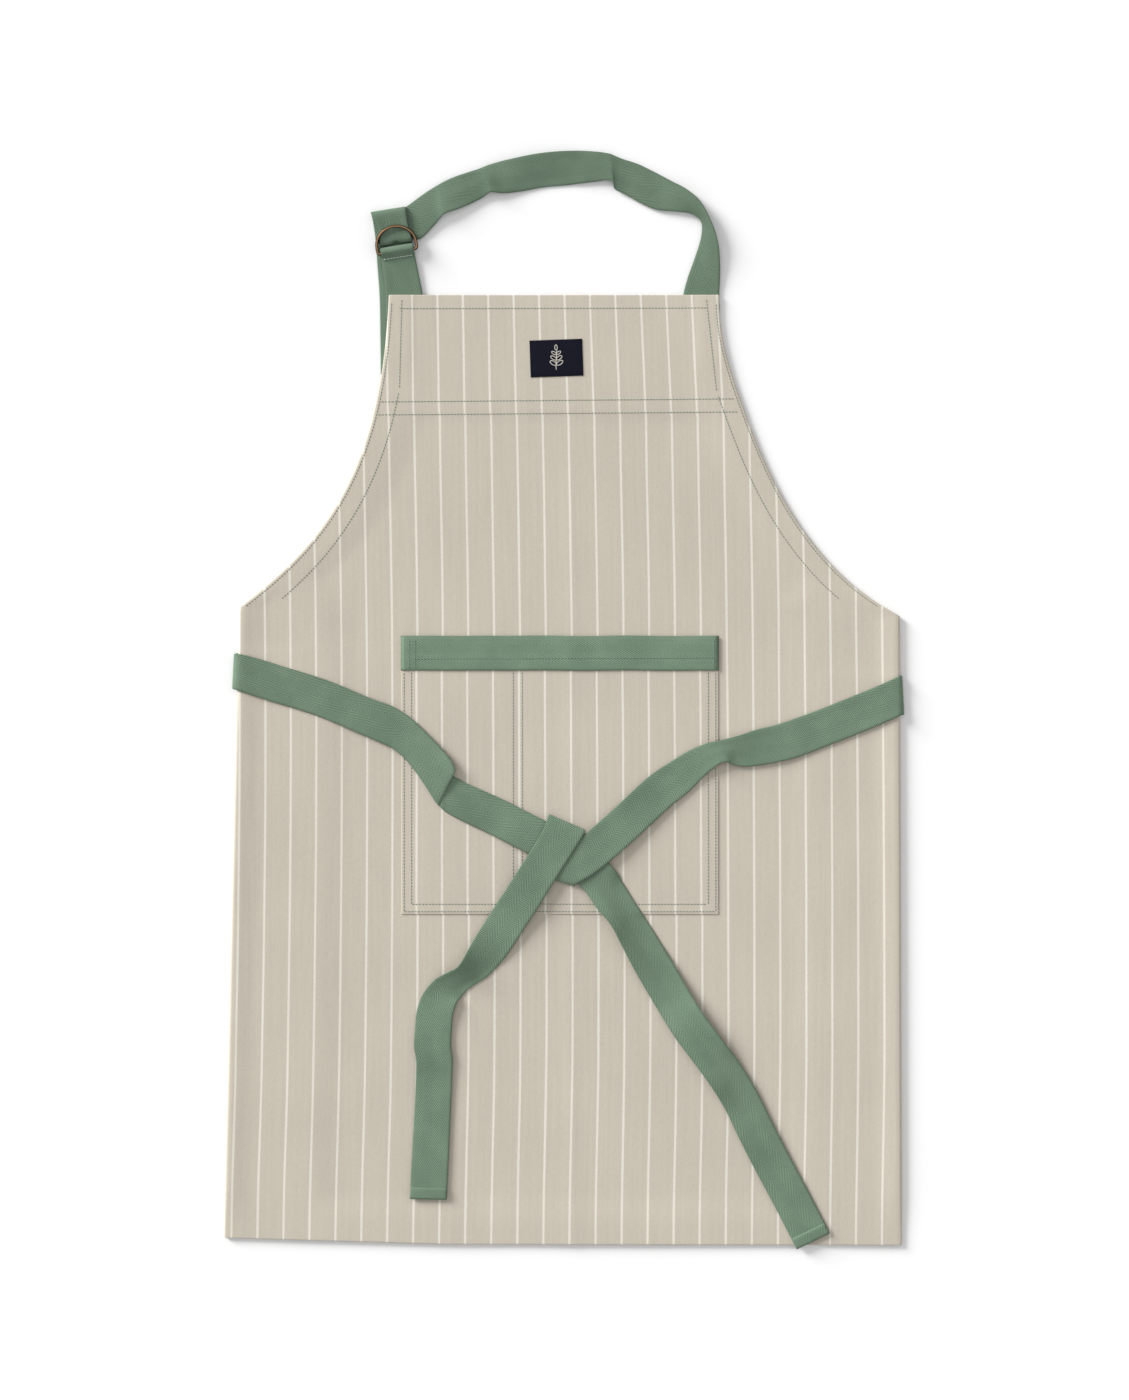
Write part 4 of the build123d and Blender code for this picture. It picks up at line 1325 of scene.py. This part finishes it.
def armhole_line(side, inset, low_y, high_y):
    """A line that follows one armhole at a distance in from its edge."""
    out = []
    for y in np.arange(low_y, high_y, 5.0):
        slope = (edge(side, y + 3) - edge(side, y - 3)) / 6
        size = math.sqrt(1 + slope * slope)
        out.append((edge(side, y) - side * inset / size, y + side * slope * inset / size))
    return out


class APRON_OT_stitching(bpy.types.Operator):
    """Rows of stitching on the bib, pocket, binding, label and tab"""

    bl_idname = "apron.stitching"
    bl_label = "Stitching"

    def execute(self, context):
        half = settings("cloth").thickness / 2 / MM
        webbing = settings("webbing").thickness / 2 / MM

        def on_front(x, y):
            return lie(x, y) + half

        def on_pocket(x, y):
            return pocket_lie(x, y) + half

        def on_binding(x, y):
            return binding_lie(x, y) + webbing + 0.1

        def on_label_face(x, y):
            return lie(x, y) + half + LABEL_THICK + 0.02

        bib = []
        # Rows across the bib: Y at the left and at the right, and how far in from the edges.
        for y_left, y_right, inset in ((371, 371.6, 10), (282.6, 285.5, 4), (270.3, 273.1, 4)):
            left = (edge(-1, y_left) + inset, y_left)
            right = (edge(1, y_right) - inset, y_right)
            bib.append((straight(left, right, 60), on_front))
        for side in (-1, 1):
            bib.append((armhole_line(side, 2.6, WAIST + 3, BIB_TOP - 5), on_front))
            bib.append((armhole_line(side, 18.5, WAIST + 22, 300), on_front))
            top = (edge(side, BIB_TOP) - side * 12, BIB_TOP - 4)
            low = armhole_line(side, 18.5, 299, 301)[0]
            bib.append((straight(low, top), on_front))

        left, right = POCKET_LOW.x, POCKET_HIGH.x
        low, top = POCKET_LOW.y, BINDING_LOW.y
        pocket = []
        outer, inner = 2.6, 9.6
        for inset in (outer, inner):
            for x in (left + inset, right - inset):
                pocket.append((straight((x, low + inset), (x, top)), on_pocket))
            foot = [(x, low + inset) for x in (left + inset, right - inset)]
            pocket.append((straight(*foot, 60), on_pocket))
        for x in POCKET_DIVIDER:
            pocket.append((straight((x, low + inner), (x, top)), on_pocket))

        binding = [(straight((left + 8, top + 11), (right - 4, top + 12), 60), on_binding)]
        for x in (left + 7.5, left + 13.2, right - 4.2):
            binding.append((straight((x, top + 1.5), (x, BINDING_HIGH.y - 1.5)), on_binding))

        ring = [on_label(u, v) for u, v in ((-23, -15.5), (23, -15.5), (23, 15.5), (-23, 15.5))]
        label = [(straight(ring[i], ring[(i + 1) % 4]), on_label_face) for i in range(4)]

        ends = [tab_place(u, 35.8, 0, 1)[:2] for u in (-14.5, 14.5)]
        tab = [(straight(*ends), lambda x, y: 4.75)]

        for part, lines, radius, finish, body in (
            ("bib", bib, THREAD, "thread", None),
            ("pocket", pocket, THREAD, "thread", "skirt"),
            ("binding", binding, THREAD, "thread", "skirt"),
            ("label", label, 0.18, "label", "bib"),
            ("tab", tab, 0.5, "pale", "neck_loop"),
        ):
            rows = stitches(part + "_thread", lines, radius, material_of(finish))
            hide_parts(part + "_stitching")
            if body:
                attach(rows, body)
            else:
                fold_at_waist(rows)
        return {"FINISHED"}


def painted_board(tint):
    """Matt painted board: a plain pale surface with no texture of its own."""
    material, _, shader = new_material("painted_board_white_matt")
    shader.inputs["Base Color"].default_value = (*tint, 1)
    shader.inputs["Roughness"].default_value = 0.95
    shader.inputs["Specular IOR Level"].default_value = 0.1
    return material


def white_surround(strength):
    """A world that lights evenly from all round and is plain white where it is seen."""
    world = bpy.data.worlds.new("studio")
    world.use_nodes = True
    tree = world.node_tree
    lit = tree.nodes["Background"]
    lit.inputs["Color"].default_value = (1, 1, 1, 1)
    lit.inputs["Strength"].default_value = strength
    seen = add(tree, "ShaderNodeBackground", {"Color": (1, 1, 1, 1), "Strength": 1.0})
    path = add(tree, "ShaderNodeLightPath")
    inputs = {0: path.outputs["Is Camera Ray"], 1: lit.outputs[0], 2: seen.outputs[0]}
    both = add(tree, "ShaderNodeMixShader", inputs)
    tree.links.new(both.outputs[0], tree.nodes["World Output"].inputs["Surface"])
    return world


class APRON_OT_stage(bpy.types.Operator):
    """Pale floor, soft light from the upper left and a camera straight above"""

    bl_idname = "apron.stage"
    bl_label = "Stage"

    def execute(self, context):
        stage = settings("stage")
        scene = context.scene
        mesh = bpy.data.meshes.new("floor")
        corners = [(FLOOR_HALF * x, FLOOR_HALF * y, 0) for x, y in ((-1, -1), (1, -1), (1, 1), (-1, 1))]
        mesh.from_pydata(corners, [], [(0, 1, 2, 3)])
        mesh.materials.append(painted_board(stage.floor))
        floor = bpy.data.objects.new("floor", mesh)
        floor.location.z = -FLOOR_DROP
        scene.collection.objects.link(floor)
        scene.world = white_surround(stage.surround)
        light = bpy.data.lights.new("key", "SUN")
        light.energy = stage.key
        light.angle = math.radians(KEY_SPREAD)
        key = bpy.data.objects.new("key", light)
        key.rotation_euler = (0, math.radians(KEY_RISE - 90), math.radians(KEY_BEARING))
        scene.collection.objects.link(key)
        scene.view_settings.view_transform = "Standard"
        data = bpy.data.cameras.new("camera")
        data.sensor_fit = "VERTICAL"
        data.sensor_height = 36.0
        data.lens = data.sensor_height * stage.height / stage.view
        camera = bpy.data.objects.new("camera", data)
        low, high = (Vector(corner) for corner in CAD_BOX)
        camera.location = ((low.x + high.x) / 2, (low.y + high.y) / 2, stage.height)
        scene.collection.objects.link(camera)
        scene.camera = camera
        return {"FINISHED"}


OPERATORS = (
    APRON_OT_front_cloth,
    APRON_OT_facing_and_hems,
    APRON_OT_pocket,
    APRON_OT_waist_ties,
    APRON_OT_neck_strap,
    APRON_OT_d_rings,
    APRON_OT_label,
    APRON_OT_stitching,
    APRON_OT_stage,
)


class APRON_PT_panel(bpy.types.Panel):
    """Apron settings and pieces"""

    bl_label = "Apron"
    bl_space_type = "VIEW_3D"
    bl_region_type = "UI"
    bl_category = "Apron"

    def draw(self, context):
        for group, kind in GROUPS.items():
            for name in kind.__annotations__:
                self.layout.prop(settings(group), name)
        for operator in OPERATORS:
            self.layout.operator(operator.bl_idname)


GROUPS = {
    "cloth": ApronClothSettings,
    "webbing": ApronWebbingSettings,
    "trim": ApronTrimSettings,
    "stage": ApronStageSettings,
}


def register():
    for name, group in GROUPS.items():
        bpy.utils.register_class(group)
        setattr(bpy.types.Scene, "apron_" + name, PointerProperty(type=group))
    for operator in OPERATORS:
        bpy.utils.register_class(operator)
    bpy.utils.register_class(APRON_PT_panel)


def unregister():
    bpy.utils.unregister_class(APRON_PT_panel)
    for operator in reversed(OPERATORS):
        bpy.utils.unregister_class(operator)
    for name, group in GROUPS.items():
        delattr(bpy.types.Scene, "apron_" + name)
        bpy.utils.unregister_class(group)


def main():
    register()
    for operator in OPERATORS:
        group, name = operator.bl_idname.split(".")
        getattr(getattr(bpy.ops, group), name)()


if __name__ == "__main__":
    main()
